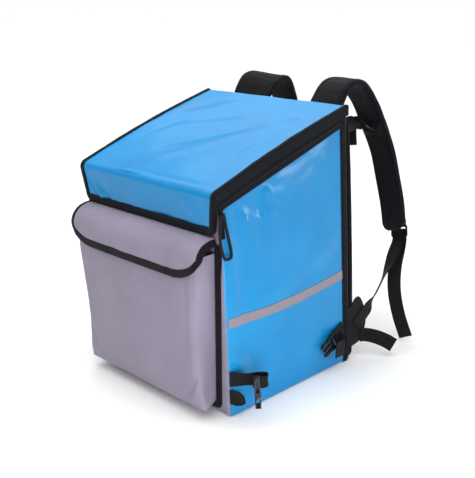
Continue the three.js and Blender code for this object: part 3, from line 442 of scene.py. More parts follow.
# retroreflective tape of glass beads in resin: pinkish grey, dull satin with a fine grain
reflectiveTape = speckled("reflectiveTape", {
    "shader": {"IOR": 1.5, "Metallic": 0.15, "Specular IOR Level": 0.6},
    "grain": 700.0, "dark": "#7c7481", "light": "#8d8591", "rough": (0.38, 0.5), "bump": 0.15})
print("finishes ready")


# camera, floor and light

# the photograph's viewpoint: angles in degrees, places in mm, focal and frameHeight in pixels
view = {"azimuth": 48.54, "pitch": 18.14, "roll": -3.0, "distance": 1842.95, "shiftRight": 38.39,
    "height": 250, "rise": 16.01, "focal": 885.34, "frameHeight": 478, "sensor": 24}
az, pitch, roll = (math.radians(view[k]) for k in ("azimuth", "pitch", "roll"))
forward = Vector((-math.sin(az) * math.cos(pitch), math.cos(az) * math.cos(pitch), -math.sin(pitch)))
rightward = Vector((math.cos(az), math.sin(az), 0))
upward = rightward.cross(forward)
cameraX = rightward * math.cos(roll) + upward * math.sin(roll)
cameraY = upward * math.cos(roll) - rightward * math.sin(roll)
target = Vector((0, 0, view["height"] + view["rise"])) + rightward * view["shiftRight"]
cameraAt = target - forward * view["distance"]
cameraData = bpy.data.cameras.new("photoCamera")
cameraData.sensor_fit = "VERTICAL"
cameraData.sensor_height = view["sensor"]
cameraData.lens = view["focal"] / view["frameHeight"] * view["sensor"]
cameraData.clip_end = 200
camera = bpy.data.objects.new("photoCamera", cameraData)
camera.matrix_world = Matrix.Translation(cameraAt * mm) @ Matrix(
    (cameraX, cameraY, -forward)).transposed().to_4x4()
bpy.context.scene.collection.objects.link(camera)
bpy.context.scene.camera = camera

floorMesh = bmesh.new()
bmesh.ops.create_circle(floorMesh, cap_ends=True, segments=96, radius=60)
floorData = bpy.data.meshes.new("floor")
floorMesh.to_mesh(floorData)
floorMesh.free()
floor = bpy.data.objects.new("floor", floorData)
bpy.context.scene.collection.objects.link(floor)
floorPaper, floorTree, floorShader = newMaterial("studioPaper", {"Roughness": 0.9, "Specular IOR Level": 0.1})
paperTone = addNode(floorTree, "TexNoise", {},
    {"Vector": addNode(floorTree, "TexCoord").outputs["Object"], "Scale": 3.0}).outputs["Fac"]
toned(floorTree, floorShader, paperTone, "#f9f9f9", "#fafafa")
floorData.materials.append(floorPaper)

# a tent that is dim at the horizon and bright overhead, and five lamps that the camera doesn't see: a wide
# one above, a key in front, a small one low at the near corner, one behind for the sheen of the lid, and a
# low strip that the side panel's folds reflect under the zip; places and sizes in metres
tentGlow = {"horizon": 0.15, "zenith": 2.0}
lamps = {
    "above": {"at": (-0.15, -0.05, 1.7), "size": (0.9, 0.9), "watts": 8.8, "to": (0, 0, 0.3)},
    "key": {"at": (-0.9, -2.3, 2.6), "size": (1.2, 1.2), "watts": 6.5, "to": (0, 0, 0.3)},
    "side": {"at": (0.7, -0.42, 0.12), "size": (0.3, 0.3), "watts": 1.9, "to": (0.2, -0.14, 0.14)},
    "sheen": {"at": (-1.2, 0.88, 1.66), "size": (0.9, 0.9), "watts": 2.4, "to": (0, 0, 0.5)},
    "strip": {"at": (1.15, 0.8, 0.31), "size": (0.34, 0.16), "watts": 1.8, "to": (0.21, -0.1, 0.35)}}
world = bpy.data.worlds.new("studio")
world.use_nodes = True
tent = world.node_tree
height = addNode(tent, "SeparateXYZ", {},
    {"Vector": addNode(tent, "TexCoord").outputs["Generated"]}).outputs["Z"]
square = addNode(tent, "Math", {"operation": "MULTIPLY"}, {0: height, 1: height}).outputs[0]
glow = addNode(tent, "MapRange", {},
    {"Value": square, "To Min": tentGlow["horizon"], "To Max": tentGlow["zenith"]}).outputs[0]
tent.nodes["Background"].inputs["Color"].default_value = (1, 1, 1, 1)
tent.links.new(glow, tent.nodes["Background"].inputs["Strength"])
bpy.context.scene.world = world
for name, setup in lamps.items():
    lampData = bpy.data.lights.new(name, "AREA")
    lampData.shape = "RECTANGLE"
    lampData.size, lampData.size_y = setup["size"]
    lampData.energy = setup["watts"]
    lamp = bpy.data.objects.new(name, lampData)
    lamp.visible_camera = False
    lamp.location = setup["at"]
    lamp.rotation_euler = (Vector(setup["to"]) - Vector(setup["at"])).to_track_quat("-Z", "Y").to_euler()
    bpy.context.scene.collection.objects.link(lamp)
bpy.context.scene.view_settings.view_transform = "Standard"
print("camera, floor and light set")


# lid

lid = {"thickness": 6, "overhang": 11, "crown": 6, "foldRadius": 14, "lipHeight": 76, "lipTuck": 3,
    "lipInset": 9, "cornerRadius": 14, "backInset": 2}
lipY = frontY - lid["overhang"]
lipBottomZ = bag["frontHeight"] - lid["lipHeight"]
lidBackY = backY - lid["backInset"]


def slopeShare(y):
    return (y - lipY) / (backY - lipY)


def lidZ(y):
    return mix(bag["frontHeight"], bag["backHeight"], slopeShare(y)) + lid["crown"] * hump(slopeShare(y), 1)


foldTilt = math.atan(lidZ(lipY + lid["foldRadius"] + 1) - lidZ(lipY + lid["foldRadius"]))
foldCentreY = lipY + lid["foldRadius"]
foldStartY = foldCentreY - lid["foldRadius"] * math.sin(foldTilt)
foldCentreZ = lidZ(foldStartY) - lid["foldRadius"] * math.cos(foldTilt)
lipLean = math.atan2(lid["lipTuck"], foldCentreZ - lipBottomZ)


def lidRow(span):
    # span is 0 to 1 on the slope, 1 to 2 round the fold, 2 to 3 down the lip; gives point, normal and share
    # down the lip
    if span < 1:
        y = mix(lidBackY, foldStartY, span)
        return Vector((0, y, lidZ(y))), Vector((0, lidZ(y - 0.5) - lidZ(y + 0.5), 1)).normalized(), 0.0
    if span <= 2:
        angle = mix(math.pi / 2 + foldTilt, math.pi + lipLean, span - 1)
        normal = Vector((0, math.cos(angle), math.sin(angle)))
        return Vector((0, foldCentreY, foldCentreZ)) + normal * lid["foldRadius"], normal, 0.0
    end, normal = lidRow(2)[:2]
    down = span - 2
    return Vector((0, end.y + down * lid["lipTuck"], mix(end.z, lipBottomZ, down))), normal, down


def lidHalf(down):
    return half - lid["lipInset"] * min(1, down / 0.78)


def cornerCut(z):
    up = max(0.0, z - lipBottomZ) / lid["cornerRadius"]
    return 0.0 if up >= 1 else lid["cornerRadius"] * (1 - math.sqrt(max(0.0, 1 - (1 - up) ** 2)))


def folds(table, a, b):
    # soft folds in a panel: each runs from one place to another, rises by height and fades over width
    total = 0.0
    for f in table:
        (a0, b0), (a1, b1) = f["start"], f["end"]
        la, lb = a1 - a0, b1 - b0
        length = math.hypot(la, lb)
        t = ((a - a0) * la + (b - b0) * lb) / length ** 2
        off = ((a - a0) * lb - (b - b0) * la) / length
        if abs(off) < 3 * f["width"] and -0.3 < t < 1.3:
            fade = smoothstep(t, -0.25, 0.25) * (1 - smoothstep(t, 0.75, 1.25))
            total += f["height"] * math.exp(-(off / f["width"]) ** 2) * fade
    return total


lidTopFolds = [  # across and along the lid, in mm
    {"start": (150, 60), "end": (-60, -170), "width": 34, "height": 3.2},
    {"start": (60, 20), "end": (-70, -70), "width": 11, "height": -1.9},
    {"start": (30, 60), "end": (-110, 0), "width": 14, "height": 1.5},
    {"start": (-50, -166), "end": (-40, -130), "width": 5, "height": -1.8},
    {"start": (-150, -166), "end": (150, -166), "width": 3.4, "height": -1.7},
    {"start": (150, -70), "end": (160, 30), "width": 14, "height": 1.6},
    {"start": (-150, 40), "end": (-60, 120), "width": 20, "height": 1.7},
    {"start": (-170, -60), "end": (-120, 40), "width": 14, "height": -1.6},
    {"start": (150, 90), "end": (90, 128), "width": 9, "height": -1.3},
    {"start": (20, 140), "end": (110, 60), "width": 13, "height": 1.2},
]
lipFolds = [  # across and up the lip
    {"start": (-184, 408), "end": (-160, 372), "width": 5, "height": -3.4},
    {"start": (-168, 404), "end": (-144, 372), "width": 6, "height": 3.2},
    {"start": (-144, 400), "end": (-118, 368), "width": 7, "height": -2.8},
    {"start": (-124, 398), "end": (-100, 370), "width": 6, "height": 1.4},
    {"start": (-60, 400), "end": (40, 384), "width": 9, "height": 1.2},
    {"start": (120, 418), "end": (165, 384), "width": 10, "height": 1.4},
    {"start": (30, 372), "end": (90, 376), "width": 6, "height": -1.0},
]


def lidSpan(v):
    # shares the grid's rows between slope, fold and lip
    if v < 0.62:
        return v / 0.62
    if v < 0.72:
        return 1 + (v - 0.62) / 0.1
    return 2 + (v - 0.72) / 0.28


def lidPlace(u, v, w):
    span = lidSpan(v)
    at, normal, down = lidRow(min(3.0, span))
    reach = lidHalf(down) - cornerCut(at.z)
    x = mix(-reach, reach, u)
    rim = min(1 - u, u) * 2 * reach
    middle = smoothstep(rim, 4, 26)
    lift = 0
    if span < 1:
        lift = -3 * hump(u) * hump(slopeShare(at.y))  # the lid sags a little between its edges
    if span < 1.2:
        lift += (folds(lidTopFolds, x, at.y) + 1.3 * unevenness(x, at.y, 0, 75, 3)) * middle
    if span > 1.3:
        wave = folds(lipFolds, x, at.z) + 0.7 * unevenness(x, 0, at.z, 60, 5)
        lift += wave * middle * smoothstep(span, 1.3, 2.1)
    return Vector((x, at.y, at.z)) + normal * ((w - 1) * lid["thickness"] + lift)


lidPanel = slab("lid", (72, 96, 2), lidPlace, blueTarpaulin)
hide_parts("lid_panel")

lidBinding = {"thickness": 2, "slopeLap": 7.5, "endLap": 8.5, "bottomLap": 13, "slopeDrop": 18,
    "lipDrop": 7, "bottomDrop": 5, "bend": 1.5}


def besideLid(span, slopeDepth, lipDepth, footZ):
    # a line beside the lid that follows its edge, slopeDepth(y) below the slope and lipDepth behind the lip
    cornerY = lipY + lipDepth
    cornerZ = lidZ(cornerY) - slopeDepth(cornerY)
    turn = 3
    if span < 1:
        y = mix(lidBackY, cornerY + turn, span)
        return y, lidZ(y) - slopeDepth(y)
    if span <= 2:
        angle = (span - 1) * math.pi / 2
        return cornerY + turn * (1 - math.sin(angle)), cornerZ - turn * (1 - math.cos(angle))
    return cornerY + (span - 2) * lid["lipTuck"], mix(cornerZ - turn, footZ, span - 2)


def lidEdgeStation(s):
    # s from 0 at the back corner to 1 at the middle of the lip's foot: edge point, outward and face
    # normals, lap and drop
    lipDown = Vector((0, math.sin(lipLean), -math.cos(lipLean)))
    foot, footNormal = lidRow(3)[:2]
    if s < 0.8:
        if s < 0.56:
            span = s / 0.56
        elif s < 0.64:
            span = 1 + (s - 0.56) / 0.08
        else:
            span = mix(2, 2.8, (s - 0.64) / 0.16)
        at, normal, down = lidRow(span)
        edge = Vector((lidHalf(down), at.y, at.z))
        y, z = besideLid(span, lambda y: lidBinding["slopeDrop"], lidBinding["lipDrop"], lipBottomZ)
        lap = mix(lidBinding["slopeLap"], lidBinding["endLap"], smoothstep(span, 1.0, 1.6))
        return edge, Vector((1, 0, 0)), normal, lap, Vector((edge.x, y, z))
    reach = lidHalf(1) - lid["cornerRadius"]
    turn = clamp01((s - 0.8) / 0.07)
    angle = turn * math.pi / 2
    out = Vector((math.cos(angle), 0, 0)) + lipDown * math.sin(angle)
    edge = Vector((reach, foot.y, foot.z)) - lipDown * lid["cornerRadius"] + out * lid["cornerRadius"]
    if s > 0.87:
        edge.x = mix(reach, 0, (s - 0.87) / 0.13)
    lap = mix(lidBinding["endLap"], lidBinding["bottomLap"], turn)
    drop = mix(lidBinding["lipDrop"], lidBinding["bottomDrop"], turn)
    return edge, out, footNormal, lap, edge - footNormal * drop


def bindingPoint(s, u, lift):
    # u runs over the tape from its lap on the face, round the edge and down the side
    edge, out, normal, lap, foot = lidEdgeStation(s)
    bend = lidBinding["bend"]
    wave = 1.5 * unevenness(edge.x, edge.y, edge.z, 34, 8) + 0.6 * unevenness(edge.x, edge.y, edge.z, 12, 8)
    lift += 0.9 * math.exp(-((u - 0.5) / 0.14) ** 2) + 0.25 * wave  # a bead of folded cloth inside the tape
    if u < 0.42:
        t = u / 0.42
        return edge - out * mix(lap + wave, bend, t) + normal * lift
    if u < 0.58:
        angle = (u - 0.42) / 0.16 * math.pi / 2
        radius = lift + bend
        centre = edge - out * bend - normal * bend
        return centre + out * radius * math.sin(angle) + normal * radius * math.cos(angle)
    t = (u - 0.58) / 0.42
    start = edge - normal * bend
    return start.lerp(foot, t) + out * lift


def lidBindingPlace(u, v, w):
    s = 1 - abs(2 * v - 1)
    at = bindingPoint(s, u, gap + w * (lidBinding["thickness"] - 0.6 * (u < 0.02 or u > 0.98)))
    return at if v < 0.5 else Vector((-at.x, at.y, at.z))


lidBindingPiece = softTape("lidBinding", (16, 260, 1), lidBindingPlace, grosgrain, 0.6)
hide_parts("lid_binding")
lapRow = []
dropRow = []
for k in range(241):
    s = k / 240
    edge, out, normal, lap, foot = lidEdgeStation(s)
    lapRow.append((edge - out * (lap - 1.6) + normal * (gap + lidBinding["thickness"]), normal))
    dropRow.append((foot.lerp(edge, 0.12) + out * (gap + lidBinding["thickness"]), out))
rows = [lapRow, dropRow]
stitches("lidBindingStitches", rows + mirrorRows(rows, -1), sewingThread)
print("lid done")


# zips down both sides of the lid

zipBand = {"thickness": 1.2, "frontDepth": 36, "backDepth": 33, "swell": 7, "lipDepth": 18, "tail": 8,
    "coilLow": 0.3, "coilHigh": 0.5, "coilHeight": 1.5, "coilPitch": 1.7}
underBinding = lidBinding["slopeDrop"] + gap


def zipDepth(y):
    share = slopeShare(y)
    return mix(zipBand["frontDepth"], zipBand["backDepth"], share) + zipBand["swell"] * hump(share, 1)


def zipPoint(share, span, x, tail):
    # share runs across the band, from the lid's binding down to the side panel
    lipDepth = mix(lidBinding["lipDrop"] + gap, zipBand["lipDepth"], share)
    y, z = besideLid(span, lambda y: mix(underBinding, zipDepth(y), share), lipDepth, lipBottomZ - tail)
    return Vector((x, y, z))


def zipSpan(v):
    # shares the zip's length between slope, fold and lip
    if v < 0.66:
        return mix(0.067, 1, v / 0.66)
    if v < 0.75:
        return 1 + (v - 0.66) / 0.09
    return 2 + (v - 0.75) / 0.25


def zipTapePlace(u, v, w):
    # the fold of cloth beside the teeth
    ridge = 0.9 * math.exp(-((u - zipBand["coilLow"] + 0.12) / 0.07) ** 2) * w
    return zipPoint(u, zipSpan(v), half + gap + w * zipBand["thickness"] + ridge, zipBand["tail"])


tapeFace = half + gap + zipBand["thickness"]
middle = (zipBand["coilLow"] + zipBand["coilHigh"]) / 2
trail = [zipPoint(middle, zipSpan(k / 600), tapeFace + 1.0, zipBand["tail"] - 3) for k in range(601)]
for sideName, side in bothSides:
    tape = softTape(f"zipTape{sideName.title()}", (14, 110, 1), mirrored(zipTapePlace, side), grosgrain, 0.35)
    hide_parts(f"zipper_tape_{sideName}")
    bm = bmesh.new()
    for k, share in marks(trail, 0.0, zipBand["coilPitch"]):
        a, b = trail[k:k + 2]
        way = (b - a).normalized()
        flat = Vector((1, 0, 0)).cross(way)
        turn = Matrix((way, flat, Vector((1, 0, 0)))).transposed()
        spot = Matrix.Diagonal((side, 1, 1, 1)) @ Matrix.Translation(a.lerp(b, share) * mm)
        addBead(bm, spot @ turn.to_4x4() @ Matrix.Diagonal((0.62, 1.9, 0.85, 1)))
    coil = finished(bm, f"zipCoil{sideName.title()}", mouldedAcetal)
    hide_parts(f"zipper_coil_{sideName}")
zipRows = [[(zipPoint(0.93, zipSpan(k / 200), tapeFace, zipBand["tail"]), Vector((1, 0, 0)))
    for k in range(201)]]
stitches("zipStitches", zipRows + mirrorRows(zipRows, -1), sewingThread)

slider = {"plate": 1.6}
pull = {"cord": 6, "length": 81, "spread": 24}
coilFace = half + 3 * gap + zipBand["thickness"] + zipBand["coilHeight"]
sliderY, sliderZ = besideLid(2.12, zipDepth, mix(lidBinding["lipDrop"] + gap, zipBand["lipDepth"], 0.4),
    lipBottomZ)
print("zips done")

# box walls

padFrontY = backY - 22
cornerRadius = 8  # how softly the sewn corners turn


def lidUnderZ(y):
    slope = math.hypot(backY - lipY, bag["backHeight"] - bag["frontHeight"]) / (backY - lipY)
    return lidZ(y) - (lid["thickness"] + 2 * gap) * slope - 1


def sideBulge(y, z):
    bandZ = lidZ(y) - zipDepth(y) - 4
    return bag["bulge"] * hump((y - frontY) / (padFrontY - frontY)) * hump(z / bandZ, 1.1)


def rolled(distance, radius=cornerRadius):
    # a face's edge turns 45 degrees into its seam: (along the face, retreat) at a distance from the seam
    quarter = radius * math.pi / 4
    if distance >= quarter:
        return distance + (radius - quarter) * (1 - smoothstep(distance, quarter, quarter + 40)), 0.0
    angle = (1 - distance / quarter) * math.pi / 4
    return radius - radius * math.sin(angle), radius * (1 - math.cos(angle))


sideFolds = [  # along and up the side panel
    {"start": (-115, 388), "end": (-97, 314), "width": 13, "height": 4.6},
    {"start": (-62, 424), "end": (-44, 366), "width": 9, "height": 3.8},
    {"start": (-142, 408), "end": (-130, 360), "width": 8, "height": -2.0},
    {"start": (-88, 420), "end": (-76, 380), "width": 8, "height": -2.0},
    {"start": (-152, 400), "end": (-150, 190), "width": 13, "height": 2.6},
    {"start": (-122, 380), "end": (-128, 190), "width": 15, "height": -2.4},
    {"start": (135, 286), "end": (-98, 210), "width": 22, "height": 2.6},
    {"start": (128, 246), "end": (-60, 190), "width": 17, "height": -2.8},
    {"start": (92, 186), "end": (-96, 112), "width": 22, "height": -3.0},
    {"start": (60, 146), "end": (-70, 70), "width": 24, "height": 2.6},
    {"start": (-160, 164), "end": (-104, 146), "width": 7, "height": 2.6},
    {"start": (-152, 36), "end": (-112, 32), "width": 34, "height": 6.0},
    {"start": (-166, 152), "end": (-94, 100), "width": 11, "height": -4.6},
    {"start": (-118, 120), "end": (-104, 56), "width": 11, "height": -2.6},
    {"start": (-148, 116), "end": (-136, 64), "width": 13, "height": 3.4},
    {"start": (139, 160), "end": (141, 92), "width": 3, "height": 1.6},
    {"start": (132, 158), "end": (134, 92), "width": 3, "height": -1.4},
    {"start": (20, 400), "end": (-26, 270), "width": 24, "height": -1.6},
    {"start": (80, 360), "end": (30, 250), "width": 20, "height": -1.4},
    {"start": (120, 60), "end": (20, 30), "width": 12, "height": 1.5},
]


def sideWave(y, z, seed):
    rim = min((y - frontY), (padFrontY - y) * 1.3, z + 6)
    bandZ = lidZ(y) - zipDepth(y)
    calm = smoothstep(rim, 3, 26) * (1 - smoothstep(z, bandZ - 12, bandZ + 2))
    shift = 0 if seed == 1 else 14 * seed
    ripple = math.sin(z / 3.4 + 2 * unevenness(0, 0, z, 30, seed))
    puckers = 0.35 * ripple * math.exp(-((y - frontY - 5) / 6) ** 2)  # along the front corner's seam
    return (folds(sideFolds, y + shift, z - shift) + 1.0 * unevenness(seed * 90, y, z, 60, seed)
        + 0.35 * unevenness(seed * 90, y, z, 21, seed)) * calm + puckers * smoothstep(z, 10, 40)


def onSide(y, z, lift, seed):
    return Vector((half + sideBulge(y, z) + max(-2.6, sideWave(y, z, seed)) + lift, y, z))


def sidePlace(seed):
    def place(u, v, w):
        across = u * (padFrontY - gap - frontY)
        y, inward = rolled(across)
        y += frontY
        top = lidUnderZ(y)
        rise, under = rolled(v * top)
        z = min(top, rise)
        x = half + sideBulge(y, z) - inward - under + sideWave(y, z, seed)
        depth = (1 - w) * (bag["wall"] - 0.5)
        mitre = depth * (1 - smoothstep(across, 0, 12)) * 0.8
        return Vector((x - depth, y + mitre, max(0.05, z)))
    return place


for sideName, side, seed in seededSides:
    panel = slab(f"side{sideName.title()}", (110, 150, 1), mirrored(sidePlace(seed), side), blueTarpaulin)
    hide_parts(f"side_panel_{sideName}")


def frontPlace(u, v, w):
    span = 2 * half
    near = min(u, 1 - u) * span
    x, inward = rolled(near)
    x = -half + x if u < 0.5 else half - x
    top = lidUnderZ(frontY) - lid["foldRadius"] / 2
    rise, under = rolled(v * top)
    z = min(top, rise)
    sag = 2.2 * smoothstep(near, 30, 0) * math.exp(-((z - 16) / 15) ** 2)  # the lower corner pushes out
    wave = 0.5 * unevenness(x, 7, z, 40, 6) * smoothstep(min(near, z), 2, 14)
    depth = (1 - w) * (bag["wall"] - 0.5)
    mitre = depth * (1 - smoothstep(near, 0, 12)) * 0.8
    x += mitre if u < 0.5 else -mitre
    return Vector((x, frontY + inward + under - wave - sag * 0.6 + depth, max(0.05, z)))


frontPiece = slab("front", (96, 100, 1), frontPlace, greyOxford)
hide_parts("front_panel")


def basePlace(u, v, w):
    x, liftX = rolled(min(u, 1 - u) * (2 * half - 2), 6)
    x = -half + 1 + x if u < 0.5 else half - 1 - x
    deep = padFrontY - gap - frontY - 1
    y, liftY = rolled(v * deep, 6)
    y = frontY + 1 + min(deep, y)
    wave = 0.25 * (1 + unevenness(x, y, 0, 50, 9)) * smoothstep(min(u, v, 1 - u) * 300, 5, 40)
    rise = max(liftX, liftY) + wave
    return Vector((x, y, max(0, rise) + w * 5))


basePiece = slab("base", (60, 50, 1), basePlace, blueTarpaulin)
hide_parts("bottom_panel")

backPad = {"edgeRadius": 9, "floorGap": 3, "channelDepth": 4.5, "channelWidth": 5}


def backPlace(u, v, w):
    # foam back: crowned fields between three sewn channels, pinched at its bound rim
    x = mix(-half, half, u)
    z = mix(backPad["floorGap"], lidUnderZ(padFrontY), v)
    rimX, rimZ = min(u, 1 - u) * bag["width"], min(v, 1 - v) * bag["backHeight"]
    edgeRound = lambda d: backPad["edgeRadius"] * (1 - math.sqrt(max(0.0, 1 - (1 - min(1, d / 12)) ** 2)))
    channelCut = lambda d: backPad["channelDepth"] * math.exp(-(d / backPad["channelWidth"]) ** 2)
    if w < 0.5:
        return Vector((x, padFrontY + 0.2, z))
    y = backY - max(edgeRound(rimX), edgeRound(rimZ))
    for channel in (-104, 0, 104):
        y -= channelCut(x - channel) * smoothstep(z, 40, 60) * (1 - smoothstep(z, 400, 425))
    for channel in (50, 415):
        y -= channelCut(z - channel) * smoothstep(rimX, 10, 26)
    return Vector((x, y + 0.6 * unevenness(x, 0, z, 50, 12) * smoothstep(min(rimX, rimZ), 8, 30), z))


backPiece = slab("backPad", (110, 130, 2), backPlace, airMesh)
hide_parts("back_pad")


def backBindingPlace(side):
    # flat tape that binds the seam between side panel and back pad
    def place(u, v, w):
        z = mix(1.2, lidUnderZ(padFrontY) + 2, v)
        wave = 0.4 * unevenness(0, 3, z, 26, 4)
        y = padFrontY - 3.5 + u * 11 + wave * (u < 0.5)
        settle = 0.9 * math.exp(-((u - 0.34) / 0.08) ** 2)
        return Vector(((half + 0.3 + w * 1.4 - settle * w) * side, y, z))
    return place


backRows = []
for sideName, side in bothSides:
    softTape(f"backBinding{sideName.title()}", (10, 90, 1), backBindingPlace(side), grosgrain, 0.4)
    seam = [Vector(((half + 1.5) * side, padFrontY + 4.6, mix(6, 505, k / 60))) for k in range(61)]
    backRows.append([(p, Vector((side, 0, 0))) for p in seam])
stitches("backSeamStitches", backRows, sewingThread)

welt = {"radius": 5, "outset": 4, "low": 6, "high": 508}
for sideName, side in bothSides:
    # the piped rear edge of the foam back, which bows out a little between its ends
    def weltPlace(angle, t, side=side):
        z = mix(welt["low"], welt["high"], t)
        bow = 3.5 * hump(t, 0.6)
        radius = welt["radius"] * (0.3 + 0.7 * smoothstep(min(t, 1 - t), 0, 0.02))
        radius += 0.35 * unevenness(angle, 3, z, 24, 40)
        x = half - welt["radius"] + 0.6 * bow + radius * math.cos(angle)
        y = backY - welt["radius"] + welt["outset"] + bow + radius * math.sin(angle)
        return Vector((x * side, y, z))

    roundPiece(f"backWelt{sideName.title()}", 24, 130, weltPlace, grosgrain, (0.03, 0.5))
print("walls done")


# reflective stripes

stripe = {"width": 19, "thickness": 0.8, "height": 191, "rise": 7, "sag": 5}


def stripeCentre(y):
    t = (y - frontY) / (padFrontY - frontY)
    return stripe["height"] - stripe["sag"] * hump(t, 1) + stripe["rise"] * t


stripeRows = []
for sideName, side, seed in seededSides:
    def stripePlace(u, v, w, side=side, seed=seed):
        y = mix(frontY + 5.5, padFrontY - 3, u)
        p = onSide(y, stripeCentre(y) + (v - 0.5) * stripe["width"], 0.25 + w * stripe["thickness"], seed)
        return Vector((p.x * side, p.y, p.z))
    tape = slab(f"stripe{sideName.title()}", (110, 8, 1), stripePlace, reflectiveTape)
    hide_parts(f"reflective_stripe_{sideName}")
    for edge in (-1, 1):
        row = []
        for k in range(141):
            y = mix(frontY + 8, padFrontY - 4, k / 140)
            z = stripeCentre(y) + edge * (stripe["width"] / 2 - 1.7)
            p = onSide(y, z, 0.3 + stripe["thickness"], seed)
            row.append((Vector((p.x * side, p.y, p.z)), Vector((side, 0, 0))))
        stripeRows.append(row)
stitches("stripeStitches", stripeRows, greyThread, length=2.4, pitch=3.6, radius=0.32)
print("stripes done")


# front pocket

pocket = {"depth": 50, "lowHalf": 168, "highHalf": 189, "frontHalf": 191, "bottomZ": 25, "topZ": 325,
    "wall": 2, "corner": 14, "bulge": 3.5, "waist": 12}

pocketFolds = [  # across and up the pocket's front
    {"start": (174, 300), "end": (166, 60), "width": 7, "height": 1.6},
    {"start": (160, 290), "end": (154, 90), "width": 8, "height": -1.2},
    {"start": (184, 108), "end": (150, 44), "width": 6, "height": -3.2},
    {"start": (180, 78), "end": (158, 36), "width": 6, "height": 3.8},
    {"start": (150, 66), "end": (120, 34), "width": 9, "height": 1.0},
    {"start": (120, 90), "end": (178, 84), "width": 6, "height": -1.0},
    {"start": (-172, 70), "end": (-140, 34), "width": 9, "height": 1.4},
    {"start": (-176, 130), "end": (-150, 60), "width": 8, "height": -1.2},
    {"start": (-100, 300), "end": (-20, 210), "width": 16, "height": -0.9},
    {"start": (40, 250), "end": (-120, 180), "width": 22, "height": 0.8},
    {"start": (60, 180), "end": (130, 120), "width": 18, "height": -0.8},
    {"start": (146, 250), "end": (60, 268), "width": 14, "height": 0.9},
]


def pocketSection(near, frontHalf, baseHalf, depth):
    # a rounded half of the pocket seen from above: near is 0 at the seam and 0.5 in the middle
    side = math.hypot(baseHalf - frontHalf, depth)
    turn = pocket["corner"] * 1.1
    sideEnd = 0.2 * (side - turn) / side
    if near < sideEnd:
        t = near / sideEnd * (side - turn) / side
        return mix(baseHalf, frontHalf, t), depth * t
    t0 = (side - turn) / side
    a = Vector((mix(baseHalf, frontHalf, t0), depth * t0))
    corner = Vector((frontHalf, depth))
    b = Vector((frontHalf - turn, depth))
    foldEnd = 0.2 + 0.3 * turn / frontHalf
    if near < foldEnd:
        t = (near - sideEnd) / (foldEnd - sideEnd)
        p = a * (1 - t) ** 2 + corner * 2 * t * (1 - t) + b * t ** 2
        return p.x, p.y
    t = (near - foldEnd) / (0.5 - foldEnd)
    return mix(b.x, 0, t), depth


def pocketPlace(u, v, w):
    inset = (1 - w) * pocket["wall"]
    rising = clamp01((v - 0.12) / 0.88)
    forward = math.sin(clamp01(v / 0.12) * math.pi / 2)
    foot = 7 * (1 - smoothstep(rising, 0, 0.09)) * smoothstep(v, 0.03, 0.12)
    z = mix(pocket["bottomZ"], pocket["topZ"], rising) + inset * (1 - rising)
    depth = mix(pocket["wall"] + 2, pocket["depth"], forward) - inset - foot * 0.5
    waist = pocket["waist"] * hump(rising * 1.25, 1.2)
    seamHalf = mix(pocket["lowHalf"], pocket["highHalf"],
        clamp01((z - pocket["bottomZ"]) / (pocket["topZ"] - pocket["bottomZ"])))
    frontHalf = mix(pocket["lowHalf"], pocket["frontHalf"] - waist, forward) - inset
    x, out = pocketSection(min(u, 1 - u), frontHalf, seamHalf - inset, depth)
    x = x if u < 0.5 else -x
    swell = pocket["bulge"] * hump(rising) * forward * hump(u, 1.5)
    front = smoothstep(min(u, 1 - u), 0.13, 0.22) * smoothstep(v, 0.06, 0.16) * (1 - smoothstep(v, 0.93, 1))
    wave = (folds(pocketFolds, x, z) + 0.9 * unevenness(x, 0, z, 70, 14)
        + 0.3 * unevenness(x, 0, z, 24, 15)) * front
    sign = 1 if x > 0 else -1
    sideways = 1.4 * unevenness(0, out, z, 46, 16) * smoothstep(out, 6, 20) * (1 - front) * sign
    lowDent = -2.5 * math.exp(-((z - 62) / 16) ** 2) * math.exp(-((out - 26) / 14) ** 2) * sign
    return Vector((x + sideways + lowDent, frontY - gap - out - swell - wave, z))


pocketPiece = slab("pocket", (150, 120, 1), pocketPlace, greyOxford)
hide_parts("pocket_body")

seamBinding = {"width": 16, "thickness": 1.8, "topZ": 343, "cornerRadius": 4}


def seamOutline(offset, t):
    # the U round the pocket's seam, right end at 0 and left end at 1
    low = pocket["bottomZ"] - gap
    lean = (pocket["highHalf"] - pocket["lowHalf"]) / (pocket["topZ"] - pocket["bottomZ"])
    splay = (pocket["frontHalf"] - pocket["lowHalf"]) / pocket["depth"] * seamBinding["thickness"]
    radius = seamBinding["cornerRadius"] + offset * 0.75
    foot = low - offset
    seamX = lambda z: pocket["lowHalf"] + gap + splay + lean * (z - pocket["bottomZ"]) + offset
    near = min(t, 1 - t)
    if near < 0.34:
        z = mix(seamBinding["topZ"], foot + radius, near / 0.34)
        x = seamX(z)
    elif near < 0.36:
        angle = (near - 0.34) / 0.02 * math.pi / 2
        x = seamX(foot + radius) - radius * (1 - math.cos(angle))
        z = foot + radius * (1 - math.sin(angle))
    else:
        x = mix(seamX(foot + radius) - radius, 0, (near - 0.36) / 0.14)
        z = foot
    return Vector((x if t < 0.5 else -x, 0, z))


def seamBindingPlace(u, v, w):
    inner, outer = seamOutline(0, v), seamOutline(seamBinding["width"], v)
    p = inner.lerp(outer, u)
    if v < 0.12:  # its right upper end spreads into a flat tab under the zip
        p.x = mix(p.x, half + 1, u * 0.95 * math.exp(-((p.z - 322) / 22) ** 2))
    roll = 0.9 * math.sin(math.pi * u) * w + 0.35 * unevenness(p.x, 0, p.z, 30, 17) * w
    p.y = frontY - gap - w * (seamBinding["thickness"] - 0.5) - roll
    return p


